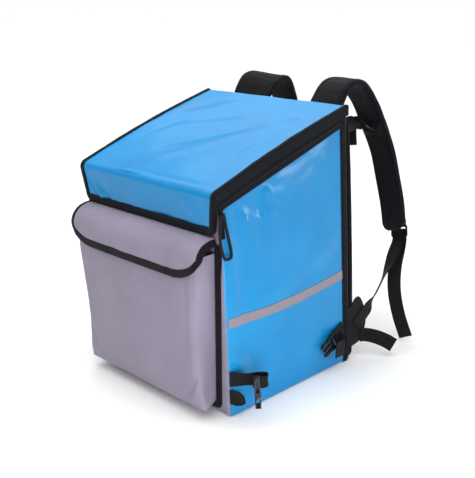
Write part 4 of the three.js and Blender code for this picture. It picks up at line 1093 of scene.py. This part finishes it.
seamPiece = softTape("pocketSeamTape", (10, 300, 1), seamBindingPlace, pocketGrosgrain, 0.5)
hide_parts("pocket_seam_binding")
seamRows = []
for share in (0.14, 0.86):
    row = []
    for k in range(301):
        p = seamOutline(0, k / 300).lerp(seamOutline(seamBinding["width"], k / 300), share)
        row.append((p + Vector((0, frontY - gap - seamBinding["thickness"], 0)), Vector((0, -1, 0))))
    seamRows.append(row)
stitches("pocketSeamStitches", seamRows, sewingThread)
print("pocket done")


# pocket flap

flap = {"half": 193, "turnDown": 17, "cloth": 2, "bindingWidth": 13.5, "bindingThickness": 3,
    "seamDrop": 5.5, "fall": 73, "length": 112, "cornerAcross": 64, "cornerAlong": 46}
# the right end turns down round the pocket, the left end lies flat
flapEnds = {"right": {"start": flap["half"], "spread": 0.3, "drop": 0.95, "flat": 0.45, "aside": 0.9},
    "left": {"start": 184, "spread": 0.72, "drop": 0.06, "flat": 1.0, "aside": 0.1}}
# shares of the pocket's depth outwards and of the fall downwards
flapTable = [(0.02, 0), (0.3, 0), (0.64, 0.07), (0.93, 0.24), (1.08, 0.46), (1.125, 0.7), (1.13, 1)]
flapTopZ = lipBottomZ - flap["seamDrop"]
flapSeatY = frontY - gap - flap["bindingThickness"] / 2
flapRoute = [Vector((0, flapSeatY - f * pocket["depth"], flapTopZ - d * flap["fall"])) for f, d in flapTable]

flapFolds = [  # across the flap and along it from the seam
    {"start": (-150, 20), "end": (-146, 84), "width": 8, "height": 1.6},
    {"start": (-128, 16), "end": (-122, 80), "width": 7, "height": -1.5},
    {"start": (-100, 30), "end": (-96, 88), "width": 9, "height": 1.2},
    {"start": (-42, 18), "end": (-52, 92), "width": 8, "height": -1.4},
    {"start": (-20, 14), "end": (-26, 90), "width": 8, "height": 1.3},
    {"start": (38, 22), "end": (30, 92), "width": 10, "height": 1.0},
    {"start": (62, 26), "end": (70, 94), "width": 7, "height": -1.2},
    {"start": (98, 40), "end": (112, 96), "width": 9, "height": 1.5},
    {"start": (128, 54), "end": (120, 98), "width": 7, "height": -1.4},
    {"start": (150, 30), "end": (160, 70), "width": 9, "height": 0.9},
]


def flapPoint(x, run, lift):
    t = clamp01(run / flap["length"])
    normal = Vector((1, 0, 0)).cross(along(flapRoute, t)).normalized()
    sign = 1 if x > 0 else -1
    end = flapEnds["right" if x > 0 else "left"]
    past = max(0.0, abs(x) - end["start"])
    across = sign * (min(abs(x), end["start"]) + end["spread"] * past)
    ends = 3.5 * t * (1 - hump((x + flap["half"]) / (2 * flap["half"]), 0.5))
    soft = smoothstep(past, 0, 5)
    p = catmull(flapRoute, t)
    p.x = across
    p += normal * (-lift * mix(1, end["flat"], soft) + end["drop"] * past + ends)
    p.x += sign * lift * end["aside"] * soft
    return p


def flapWave(x, run):
    wave = folds(flapFolds, x, run) + 0.8 * unevenness(x, run, 0, 36, 20)
    return wave * smoothstep(run, 4, 24) * (1 - 0.6 * smoothstep(abs(x), 170, 200))


flapFull = flap["half"] + flap["turnDown"]
flapStraight = flap["length"] - flap["cornerAlong"]


def flapEdge(t, inset):
    # the flap's right edge from the seam at 0 round its corner to 1: run across and along
    reach = flapFull - inset
    across = flap["cornerAcross"] + flap["turnDown"] - inset
    if t < 0.4:
        return reach, flapStraight * t / 0.4
    angle = (t - 0.4) / 0.6 * math.pi / 2
    run = flapStraight + (flap["cornerAlong"] - inset) * math.sin(angle)
    return reach - across * (1 - math.cos(angle)), run


def flapClothPlace(u, v, w):
    x, run = flapEdge(v, flap["bindingWidth"] * 0.45)
    x = mix(-x, x, u)
    return flapPoint(x, run, (w - 0.5) * flap["cloth"] * 0.6 + flapWave(x, run))


flapPiece = slab("flap", (120, 60, 1), flapClothPlace, greyOxford)
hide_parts("pocket_flap")


def flapRound(t, inset):
    # the whole edge, right seam end at 0 and left at 1
    near = min(t, 1 - t)
    if near < 0.33:
        x, run = flapEdge(near / 0.33, inset)
    else:
        x, run = flapEdge(1, inset)
        x = mix(x, 0, (near - 0.33) / 0.17)
    return (x if t < 0.5 else -x), run


def flapBindingPlace(u, v, w):
    # a folded tape: flat on both faces, round at the rim
    edge = 0.45 * unevenness(v * 700, 0, 0, 30, 22) * (u > 0.5)
    inset = mix(0, flap["bindingWidth"] + edge, u)
    x, run = flapRound(v, inset)
    thick = flap["bindingThickness"]
    if u < 0.55:
        thick *= 0.45 + 0.55 * math.sin(math.pi * min(1.0, 0.12 + u * 1.4)) ** 0.5
    thick += 0.5 * math.sin(math.pi * u)
    return flapPoint(x, run, (w - 0.5) * thick + flapWave(x, run))


flapTape = softTape("flapBinding", (12, 260, 1), flapBindingPlace, pocketGrosgrain, 0.7)
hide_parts("flap_binding")
flapRows = []
for lift in (1, -1):  # one row on each face
    row = []
    for k in range(301):
        x, run = flapRound(k / 300, flap["bindingWidth"] * 0.84)
        wave = flapWave(x, run)
        p = flapPoint(x, run, lift * 1.7 + wave)
        row.append((p, (flapPoint(x, run, lift * 2.7 + wave) - p).normalized()))
    flapRows.append(row)
flapSeams = stitches("flapStitches", flapRows, sewingThread)
print("flap done")

# shoulder pads

# the pad's route and section are read by rows: across, out and up as shares of the sizes below
shoulder = {"width": 92, "thickness": 14, "reach": 192, "across": 112, "lowAcross": 194, "leftTwist": 3}
padTable = {
    "across": [0, 0, 0, 0.01, 0.03, 0.115, 0.205, 0.35, 0.53, 0.75, 0.93, 1],
    "out": [0, 0.035, 0.17, 0.35, 0.555, 0.745, 0.865, 0.945, 0.945, 0.905, 0.84, 0.81],
    "up": [0.828, 0.9, 0.972, 1.042, 1.044, 0.964, 0.862, 0.752, 0.642, 0.547, 0.478, 0.452],
    "width": [0.88, 0.95, 0.97, 0.96, 0.93, 0.79, 0.72, 0.68, 0.65, 0.63, 0.6, 0.43],
    "turn": [0, 0, -0.07, -0.14, -0.14, -0.08, 0, 0, 0.06, 0.1, 0.12, 0.12],
    "roll": [0, 0, 0, 0.02, 0.02, 0.02, 0.05, 0.1, 0.15, 0.2, 0.2, 0.2],
}
band = {"at": 0.552, "span": 0.045}
padSeatY = backY + gap + shoulder["thickness"] / 2
padRoute = [
    Vector((mix(shoulder["across"], shoulder["lowAcross"], a), padSeatY + o * shoulder["reach"],
        z * bag["backHeight"]))
    for a, o, z in zip(padTable["across"], padTable["out"], padTable["up"])]


def padRow(t, column):
    values = padTable[column]
    at = clamp01(t) * (len(values) - 1)
    k = min(len(values) - 2, int(at))
    return mix(values[k], values[k + 1], at - k)


def padAcross(t):
    return Vector((1, padRow(t, "turn"), padRow(t, "roll"))).normalized()


@functools.lru_cache(maxsize=None)
def padFrame(t, twist):
    way = along(padRoute, t)
    sway = (twist - 1) * smoothstep(t, 0.09, 0.2) * (1 - smoothstep(t, 0.32, band["at"] - band["span"]))
    level = Vector((1, padRow(t, "turn") * (1 + sway), padRow(t, "roll") + 0.07 * sway)).normalized()
    normal = way.cross(level).normalized()
    flat = normal.cross(way).normalized()
    sink = (twist - 1) * 3.4 * hump(t / (band["at"] - band["span"]), 1.5)
    return catmull(padRoute, t) + Vector((0, -0.5 * sink, -sink)), flat, normal


def padPoint(u, t, w, grow=0.0, twist=1):
    # the plain pad of the frame, which straps are seated on
    at, flat, normal = padFrame(t, twist)
    thick = shoulder["thickness"] * (0.45 if abs(u - 0.5) > 0.45 else 1) + 2 * grow
    wide = shoulder["width"] * padRow(t, "width") + 2 * grow
    return at + flat * ((u - 0.5) * wide) + normal * ((w - 0.5) * thick)


def padSkin(angle, t, twist, seed, lift=0.0):
    # foam pad in section: fuller in the middle, thinner and round at its bound edges
    at, flat, normal = padFrame(t, twist)
    before, after = padRow(max(0, t - 0.015), "width"), padRow(min(1, t + 0.015), "width")
    wide = shoulder["width"] * mix(before, after, 0.5)
    c, s = math.cos(angle), math.sin(angle)
    x = math.copysign(abs(c) ** 0.5, c)
    profile = math.copysign(abs(s) ** 0.5, s)
    rim = 1 - abs(x)
    full = mix(0.62, 1.0, smoothstep(rim, 0.02, 0.3))
    endPinch = mix(0.5, 1, smoothstep(t, 0.0, 0.03)) * mix(0.45, 1, 1 - smoothstep(t, 0.972, 1.0))
    dip = 1.3 * math.exp(-((rim - 0.17) / 0.05) ** 2)  # the binding's seam
    thick = (shoulder["thickness"] * 0.5 * full - dip * (1 if abs(profile) > 0.5 else 0)) * endPinch
    wave = (0.5 * unevenness(x * 40, t * 620, s * 9, 30, seed)
        + 0.9 * unevenness(x * 20, t * 620, s * 4, 80, seed)) * smoothstep(rim, 0.05, 0.4)
    bent = hump(clamp01((t - 0.14) / 0.36), 1)  # the inner face ripples where the pad turns over
    ripple = 0.55 * math.sin(t * 190 + x * 2) * bent * (1 if s < 0 else 0.1) * smoothstep(rim, 0.1, 0.4)
    halfWide = 0.5 * (wide - 1.2)
    tip = smoothstep(t, 0.955, 1.0)
    raised = profile * (thick + lift) + (wave + ripple * 0.8) * (1 if s > 0 else -1) * abs(profile)
    return at + flat * (x * halfWide * (1 - 0.14 * tip * tip)) + normal * raised


piping = {"height": 5.2, "thickness": 1.1, "round": 4.2, "lap": 8.5}
padLength = sum((catmull(padRoute, (k + 1) / 60) - catmull(padRoute, k / 60)).length
    for k in range(60)) * mm
padRows = []
for sideName, side in bothSides:
    twist = 1 if side > 0 else shoulder["leftTwist"]

    def padPlace(angle, t, side=side, twist=twist):
        p = padSkin(angle, t, twist, 30 + side)
        return Vector((p.x * side, p.y, p.z))

    pad = roundPiece(f"shoulderPad{sideName.title()}", 72, 210, padPlace, airMesh,
        (0.17, padLength))
    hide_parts(f"shoulder_pad_{sideName}")

    def pipingPlace(edge, side=side, twist=twist):
        # tape folded over the pad's long edge
        def place(u, v, w):
            t = mix(0.012, 0.985, v)
            at, flat, normal = padFrame(t, twist)
            wide = shoulder["width"] * padRow(t, "width") * 0.5 - 0.5
            ends = mix(0.62, 1, smoothstep(t, 0.0, 0.03)) * mix(0.6, 1, 1 - smoothstep(t, 0.96, 1.0))
            tip = smoothstep(t, 0.955, 1.0)
            thick = piping["height"] * ends
            angle = (u - 0.5) * 2
            grow = 0.25 + w * piping["thickness"]
            inner = wide * (1 - 0.14 * tip * tip) - piping["round"]
            if abs(angle) > 0.45:
                reach = (abs(angle) - 0.45) / 0.55 * piping["lap"]
                p = flat * (edge * (inner - reach))
                p += normal * math.copysign(thick + grow + 0.05 * reach, angle)
            else:
                turn = angle / 0.45 * math.pi / 2
                p = flat * (edge * (inner + (piping["round"] + grow) * math.cos(turn)))
                p += normal * ((thick + grow) * math.sin(turn))
            p = at + p
            return Vector((p.x * side, p.y, p.z))
        return place

    for edgeName, edge in (("Outer", 1), ("Inner", -1)):
        softTape(f"pad{edgeName}Binding{sideName.title()}", (16, 150, 1), pipingPlace(edge), grosgrain, 0.35)
        for share in (0.06, 0.94):
            row = []
            for k in range(151):
                p, q = pipingPlace(edge)(share, k / 150, 1), pipingPlace(edge)(share, k / 150, 2)
                row.append((p, (q - p).normalized()))
            padRows.append(row)
stitches("padStitches", padRows, sewingThread)

webbing = {"width": 30, "thickness": 1.8, "loop": 4.1}
for sideName, side in bothSides:
    def bandPlace(angle, t, side=side):
        # a closed sleeve of webbing: out over its face, then back under it
        outward = 1.0 if 0.18 < t < 0.82 else 0.0
        at = band["at"] + mix(-0.5, 0.5, clamp01((t - 0.18) / 0.64)) * band["span"]
        p = padSkin(angle, at, 1, 31, lift=0.5 + outward * webbing["thickness"])
        flat = padFrame(at, 1)[1]
        p += flat * math.cos(angle) * (0.6 + outward * webbing["thickness"])
        return Vector((p.x * side, p.y, p.z))
    sleeve = roundPiece(f"padBand{sideName.title()}", 72, 22, bandPlace, webbingWeave,
        (0.17, 0.04))
    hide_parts(f"pad_band_{sideName}")
print("shoulder pads done")


# loose straps, each round its bar

loopTable = [(-1.2, -1), (0, -1), (0.7, -0.7), (1, 0), (0.7, 0.7), (0, 1), (-1.2, 1)]


def aroundBar(at, way, through, bulge=0.0):
    # the webbing's turn round a bar that it comes to along way
    route = []
    for a, b in loopTable:
        ahead = a * webbing["loop"] + (bulge if a > -1 else 0)
        route.append(at + way * ahead + through * (b * webbing["loop"]))
    return route


def frameOf(across, up):
    x = across.normalized()
    z = x.cross(up).normalized()
    return x, z.cross(x), z


def placed(axes, at, x, y, z):
    return at + axes[0] * x + axes[1] * y + axes[2] * z


lock = {"slot": 9, "rail": 4}
lockHalf = 1.5 * lock["rail"] + lock["slot"]
lockTopBar = lock["rail"] + lock["slot"]
wing = {"thickness": 2.4, "overlap": 16, "reach": 46, "top": 133, "bottom": 28}
strapFace = half + gap + wing["thickness"] + gap + webbing["thickness"] / 2
lockAxes = frameOf(padAcross(1), Vector((-0.05, 0.25, 1)))
lockAt = padPoint(0.5, 0.985, 0) + lockAxes[2] * -13 + Vector((0, 0, -5))
routes = {}  # per strap: its points, the direction of its width, rows of its grid and the node's name

topBar = placed(lockAxes, lockAt, 0, lockTopBar, 0)


def lockSeat(t, lift):
    normal = along(padRoute, t).cross(padAcross(t)).normalized()
    at = padPoint(0.5, t, 0) + normal * (-lift - webbing["thickness"] / 2 - gap)
    return at + lockAxes[0] * -(at - topBar).dot(lockAxes[0])


rows = [lockSeat(0.845, 0.6), lockSeat(0.87, 1.2), lockSeat(0.89, 3.2)]
rows += aroundBar(topBar, -lockAxes[1], -lockAxes[2])
rows += [placed(lockAxes, topBar, 0, 12, -webbing["loop"] - 1)]
routes["lockTab"] = (rows,
    lambda t: padAcross(0.87).lerp(lockAxes[0], smoothstep(t, 0, 0.2)), 46, "lock_tab")

start = Vector((strapFace, backY + 12, 72))
leave = Vector((strapFace + 0.6, backY + wing["reach"] + 6, 102))
end = placed(lockAxes, lockAt, 0, -lockHalf - 3, webbing["loop"] + 0.6)
reach = (end - leave).length
sagTable = ((0.12, -0.02), (0.28, -0.045), (0.45, -0.06), (0.64, -0.055), (0.84, -0.03))
rows = [start, start.lerp(leave, 0.5), leave]
rows += [leave.lerp(end, run) + Vector((0, 0, sag * reach)) for run, sag in sagTable]
rows += [end] + aroundBar(lockAt, lockAxes[1], -lockAxes[2])
foot = placed(lockAxes, lockAt, 0, -lockHalf - 2, -webbing["loop"] - 1)
# the loose end hangs to the floor, in shares of the height that it hangs from
hangTable = ((0, 0, 0), (0.02, -0.055, -0.1), (0.045, -0.14, -0.23), (0.06, -0.18, -0.37),
    (0.08, -0.195, -0.52), (0.135, -0.2, -0.73), (0.225, -0.2, -0.945))
rows += [foot + Vector(p) * foot.z for p in hangTable]


def adjusterAcross(t):
    across = Vector((0, -0.65, 0.76)).lerp(Vector((0.66, -0.5, 0.55)), smoothstep(t, 0.08, 0.17))
    across = across.lerp(lockAxes[0], smoothstep(t, 0.22, 0.33))
    return across.lerp(Vector((0.93, 0.36, 0.05)), smoothstep(t, 0.7, 0.85))


routes["adjuster"] = (rows, adjusterAcross, 170, "adjuster_webbing")

hipBelt = {"reach": 56, "height": 46}
start = Vector((strapFace, backY + 25, hipBelt["height"]))
beltTable = ((0, 0, 0), (0.08, 0.2, -0.02), (0.42, 0.45, -0.1), (0.75, 0.65, -0.24), (1, 0.76, -0.38))
rows = [start + Vector(p) * hipBelt["reach"] for p in beltTable]
routes["hipBelt"] = (rows, lambda t: Vector((0, 0.1, 1)).lerp(Vector((0, 0.55, 0.8)), t), 40, "hip_belt")

rearStrap = {"height": 70, "reach": 38, "tail": 42}
plugAxes = frameOf(Vector((0.05, -0.5, 0.86)), Vector((0.06, 0.86, 0.5)))
plugAt = Vector((half + 12, padFrontY - rearStrap["reach"], rearStrap["height"]))
outward = plugAxes[2] if plugAxes[2].x > 0 else -plugAxes[2]
start = Vector((half + gap + webbing["thickness"] / 2 + 0.6, padFrontY - 5, rearStrap["height"] + 12))
rows = [start, start.lerp(plugAt, 0.5) + Vector((-2, 0, 0))] + aroundBar(plugAt, -plugAxes[1], outward)
last = rows[-1]
rows += [last + Vector(p) * rearStrap["tail"]
    for p in ((0.05, 0.05, -0.22), (0.06, 0.02, -0.6), (0.05, -0.02, -1))]


def rearAcross(t):
    across = Vector((0, -0.05, 1)).lerp(plugAxes[0], smoothstep(t, 0, 0.15))
    return across.lerp(Vector((0.1, -0.9, 0.4)), smoothstep(t, 0.74, 0.95))


routes["rearStrap"] = (rows, rearAcross, 80, "rear_strap")

lifter = {"anchorHeight": 474, "anchorAcross": 182, "lockReach": 104, "lockHeight": 482, "lockAcross": 138,
    "tail": 42}
lifterAt = Vector((lifter["lockAcross"], backY + lifter["lockReach"], lifter["lockHeight"]))
lifterAxes = frameOf(Vector((0.8, 0.1, -0.55)), Vector((-0.08, 0.95, -0.2)))
under = -lifterAxes[2] if lifterAxes[2].z > 0 else lifterAxes[2]
start = Vector((lifter["anchorAcross"], backY + gap + webbing["thickness"] / 2, lifter["anchorHeight"] - 14))
near = lifterAt + lifterAxes[1] * (-lockHalf - 10) + under * -webbing["loop"]
rows = [start, start + Vector((0, 1.5, 10)), start + Vector((-3, 12, 22)),
    start.lerp(near, 0.6) + Vector((6, 0, 10)), near,
    near + lifterAxes[1] * 10] + aroundBar(lifterAt, lifterAxes[1], under)
last = placed(lifterAxes, lifterAt, 0, -lockHalf - 2, 0) + under * (webbing["loop"] + 1)
rows += [last] + [last + Vector(p) * lifter["tail"]
    for p in ((0, -0.08, -0.25), (0, -0.1, -0.6), (0, -0.08, -1))]


def lifterAcross(t):
    across = Vector((1, 0, 0)).lerp(lifterAxes[0], smoothstep(t, 0.08, 0.24))
    return across.lerp(Vector((0.8, 0.6, 0)), smoothstep(t, 0.82, 1))


routes["lifterStrap"] = (rows, lifterAcross, 120, "lifter_strap")

barTop = placed(lifterAxes, lifterAt, 0, lockTopBar, 0)
normal = along(padRoute, band["at"]).cross(padAcross(band["at"])).normalized()
seat = padPoint(0.42, band["at"], 1) + normal * (2 * gap + 1.5 * webbing["thickness"] + 1.4)
rows = [seat + Vector((0, 0, -6)), seat, seat.lerp(barTop, 0.4) + Vector((0, 0, 5)),
    placed(lifterAxes, barTop, 0, 9, 0) - under * webbing["loop"]]
rows += aroundBar(barTop, -lifterAxes[1], under)
rows += [placed(lifterAxes, barTop, 0, 14, 0) + under * (webbing["loop"] - 1.5)]
routes["lifterTab"] = (rows,
    lambda t: Vector((0.95, 0.1, -0.1)).lerp(lifterAxes[0], smoothstep(t, 0, 0.26)), 70, "lifter_tab")


def sideStrap(name, route, side, widthAt=lambda t: 1.0):
    points, across, count, node = route
    moved = [Vector((p.x * side, p.y, p.z)) for p in points]

    def turned(t):
        a = across(t)
        return Vector((a.x * side, a.y, a.z))

    piece = strap(name, moved, turned, webbing["width"], webbing["thickness"], count, webbingWeave,
        widthAt)
    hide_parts(node)
    return moved, turned


def crossStitches(points, across, spots):
    # bar tacks over a strap at shares of its route, on both faces
    rows = []
    for t in spots:
        for face in (1, -1):
            way = along(points, t)
            normal = way.cross(across(t).normalized()).normalized()
            flat = normal.cross(way).normalized()
            at = catmull(points, t) + normal * (face * webbing["thickness"] / 2)
            rows.append([(at + flat * x, normal * face) for x in (-12.5, -6, 0, 6, 12.5)])
    return rows


tackRows = []
tackSpots = {"lockTab": (0.04, 0.12), "adjuster": (0.02, 0.06, 0.985), "hipBelt": (0.06, 0.14, 0.95),
    "rearStrap": (0.03, 0.08, 0.965), "lifterStrap": (0.02, 0.06, 0.97), "lifterTab": (0.03, 0.09)}
for sideName, side in bothSides:
    for key, route in routes.items():
        points, across = sideStrap(f"{key}{sideName.title()}",
            (route[0], route[1], route[2], f"{route[3]}_{sideName}"), side)
        tackRows += crossStitches(points, across, tackSpots[key])

frontStrap = {"height": 81, "reach": 50, "bulge": 16, "droop": 35, "splay": 0.66, "leftSplay": 0.34,
    "endHeight": 44, "endTurn": 14}
# the short end's way out from the side and down, in shares of its turn
endTable = [(-0.12, 0.0), (0.1, 0.0), (0.42, -0.05), (0.76, -0.24), (0.96, -0.58), (1.0, -1.0), (1.0, -1.28)]
for sideName, side, splay in (("right", 1, frontStrap["splay"]), ("left", -1, frontStrap["leftSplay"])):
    out = Vector((splay, math.sqrt(1 - splay ** 2), 0))
    ahead = Vector((out.y, -out.x, 0))
    droop = math.radians(frontStrap["droop"])
    axes = frameOf(ahead * math.sin(droop) + Vector((0, 0, math.cos(droop))),
        ahead * -math.cos(droop) + Vector((0, 0, math.sin(droop))))
    footAt = lambda z: Vector((half + gap + webbing["thickness"] / 2, frontY + 1, z))
    back = -axes[1]
    bar = footAt(frontStrap["height"]) + out * frontStrap["reach"] + back * webbing["loop"]
    rows = [footAt(frontStrap["height"]) + out * (run * frontStrap["reach"]) + Vector((0, 0, -2 * run))
        for run in (0, 0.2, 0.45, 0.7)]
    rows += aroundBar(bar, out, back, frontStrap["bulge"])
    rows += [bar - out * run + back * (-0.35 * webbing["loop"]) for run in (7, 13)]
    lean = lambda t, axes=axes: Vector((0, 0, 1)).lerp(axes[0], 0.5 * smoothstep(t, 0.02, 0.24))
    points, across = sideStrap(f"frontStrap{sideName.title()}",
        (rows, lean, 110, f"front_strap_{sideName}"), side)
    tackRows += crossStitches(points, across, (0.03, 0.3, 0.97))
    turn = frontStrap["endTurn"]
    fallen = [footAt(frontStrap["endHeight"]) + out * (o * turn) + Vector((0.6 * o, 0, d * turn))
        for o, d in endTable]
    lean = lambda t, out=out: Vector((0, 0, 1)).lerp(out, smoothstep(t, 0.12, 0.82) if t < 0.82 else 1.0)
    sideStrap(f"frontStrapEnd{sideName.title()}", (fallen, lean, 36, f"front_strap_end_{sideName}"), side,
        lambda t: mix(1, 0.84, t) * math.sqrt(1 - 0.7 * smoothstep(t, 0.78, 1.0) ** 2))
stitches("strapTacks", tackRows, sewingThread, length=2.6, pitch=3.0, radius=0.35)
print("straps done")


# wing tabs

wingTable = ((0, 0.0), (0.63, 0.08), (0.93, 0.3), (1, 0.47), (0.85, 0.79), (0.58, 1), (0.3, 1), (0, 0.86))


def wingEdge(t):
    # the tab's outline from its low seam corner round to its top one, out and up
    return catmull([Vector(p + (0,)) for p in wingTable], t)


wingRows = []
for sideName, side in bothSides:
    def wingPlace(u, v, w, side=side):
        edge = wingEdge(v)
        height = wing["top"] - wing["bottom"]
        if u < 0.3:
            out = wing["overlap"] * u / 0.3
        else:
            out = wing["overlap"] + edge.x * wing["reach"] * (u - 0.3) / 0.7
        up = mix(mix(0.02, 0.86, v), edge.y, smoothstep(u, 0, 1)) * height
        rim = min(1 - u, v, 1 - v)
        pad = 0.5 * smoothstep(rim, 0.0, 0.12) - 0.5 * math.exp(-((rim - 0.1) / 0.03) ** 2)
        x = half + gap + w * (wing["thickness"] - 0.5 + pad * 0.8)
        return Vector((x * side, backY - wing["overlap"] + out, wing["bottom"] + up))

    tab = softTape(f"wingTab{sideName.title()}", (40, 50, 1), wingPlace, blackOxford, 0.5)
    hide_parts(f"wing_tab_{sideName}")
    row = []
    for k in range(61):
        p = wingPlace(0.9, mix(0.08, 0.92, k / 60), 1)
        row.append((p, Vector((side, 0, 0))))
    wingRows.append(row)
stitches("wingStitches", wingRows, sewingThread)


# moulded buckles and bars: the frame's solids, joined up and given soft moulded edges

def moulded(name, node, width):
    bm = bmesh.new()
    bm.from_mesh(nodes[node].data)
    bmesh.ops.remove_doubles(bm, verts=bm.verts, dist=1e-6)
    bmesh.ops.dissolve_limit(bm, angle_limit=math.radians(2), verts=bm.verts, edges=bm.edges)
    edges = [e for e in bm.edges if len(e.link_faces) == 2 and e.calc_face_angle(0) > math.radians(25)]
    bmesh.ops.bevel(bm, geom=edges, offset=width * mm, offset_type="OFFSET", segments=2, profile=0.5,
        affect="EDGES", material=-1, clamp_overlap=True)
    piece = finished(bm, name, mouldedAcetal, outwards=False)
    piece.data.set_sharp_from_angle(angle=math.radians(35))
    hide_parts(node)
    return piece


# name, node and the width in mm of its softened edges
mouldings = (("ladderLock", "ladder_lock", 0.7), ("lifterLock", "lifter_lock", 0.7),
    ("buckleSocket", "buckle_socket", 0.5), ("bucklePlug", "buckle_plug", 0.6),
    ("zipSlider", "zipper_slider", 0.25))
for sideName, side in bothSides:
    for name, node, width in mouldings:
        moulded(f"{name}{sideName.title()}", f"{node}_{sideName}", width)

# the cord loop's way, in shares of its spread and length
pullTable = [(0.02, 0.02), (0.2, -0.26), (0.42, -0.58), (0.6, -0.88), (0.54, -1.0), (0.22, -1.02),
    (-0.08, -0.98), (-0.3, -0.78), (-0.4, -0.48), (-0.3, -0.16)]
pullX = coilFace + slider["plate"] + gap + pull["cord"] / 2
pullRoute = [Vector((pullX, sliderY + y * pull["spread"], sliderZ + 3 + z * pull["length"]))
    for y, z in pullTable]


def pullPlace(angle, t):
    # two strands twisted into one cord
    way = along(pullRoute, t, closed=True)
    side = Vector((1, 0, 0))
    flat = side.cross(way).normalized()
    radius = pull["cord"] / 2 * (0.9 + 0.1 * abs(math.cos(angle + t * 120)))
    middle = catmull(pullRoute, t, closed=True)
    return middle + side * (radius * math.cos(angle)) + flat * (radius * math.sin(angle))


bm = bmesh.new()
bmesh.ops.create_grid(bm, x_segments=14, y_segments=220, size=0.5)
for vert in bm.verts:
    u, v = vert.co.x + 0.5, vert.co.y + 0.5
    vert.co = pullPlace(u * 2 * math.pi, v % 1.0) * mm
bmesh.ops.remove_doubles(bm, verts=bm.verts, dist=1e-6)
cordPiece = finished(bm, "zipPull", braidedCord)
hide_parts("zipper_pull_loop")
print("buckles and pull done")

shown = [o for o in bpy.data.objects if o.type == "MESH" and not o.hide_render]
print("pieces:", len(shown))
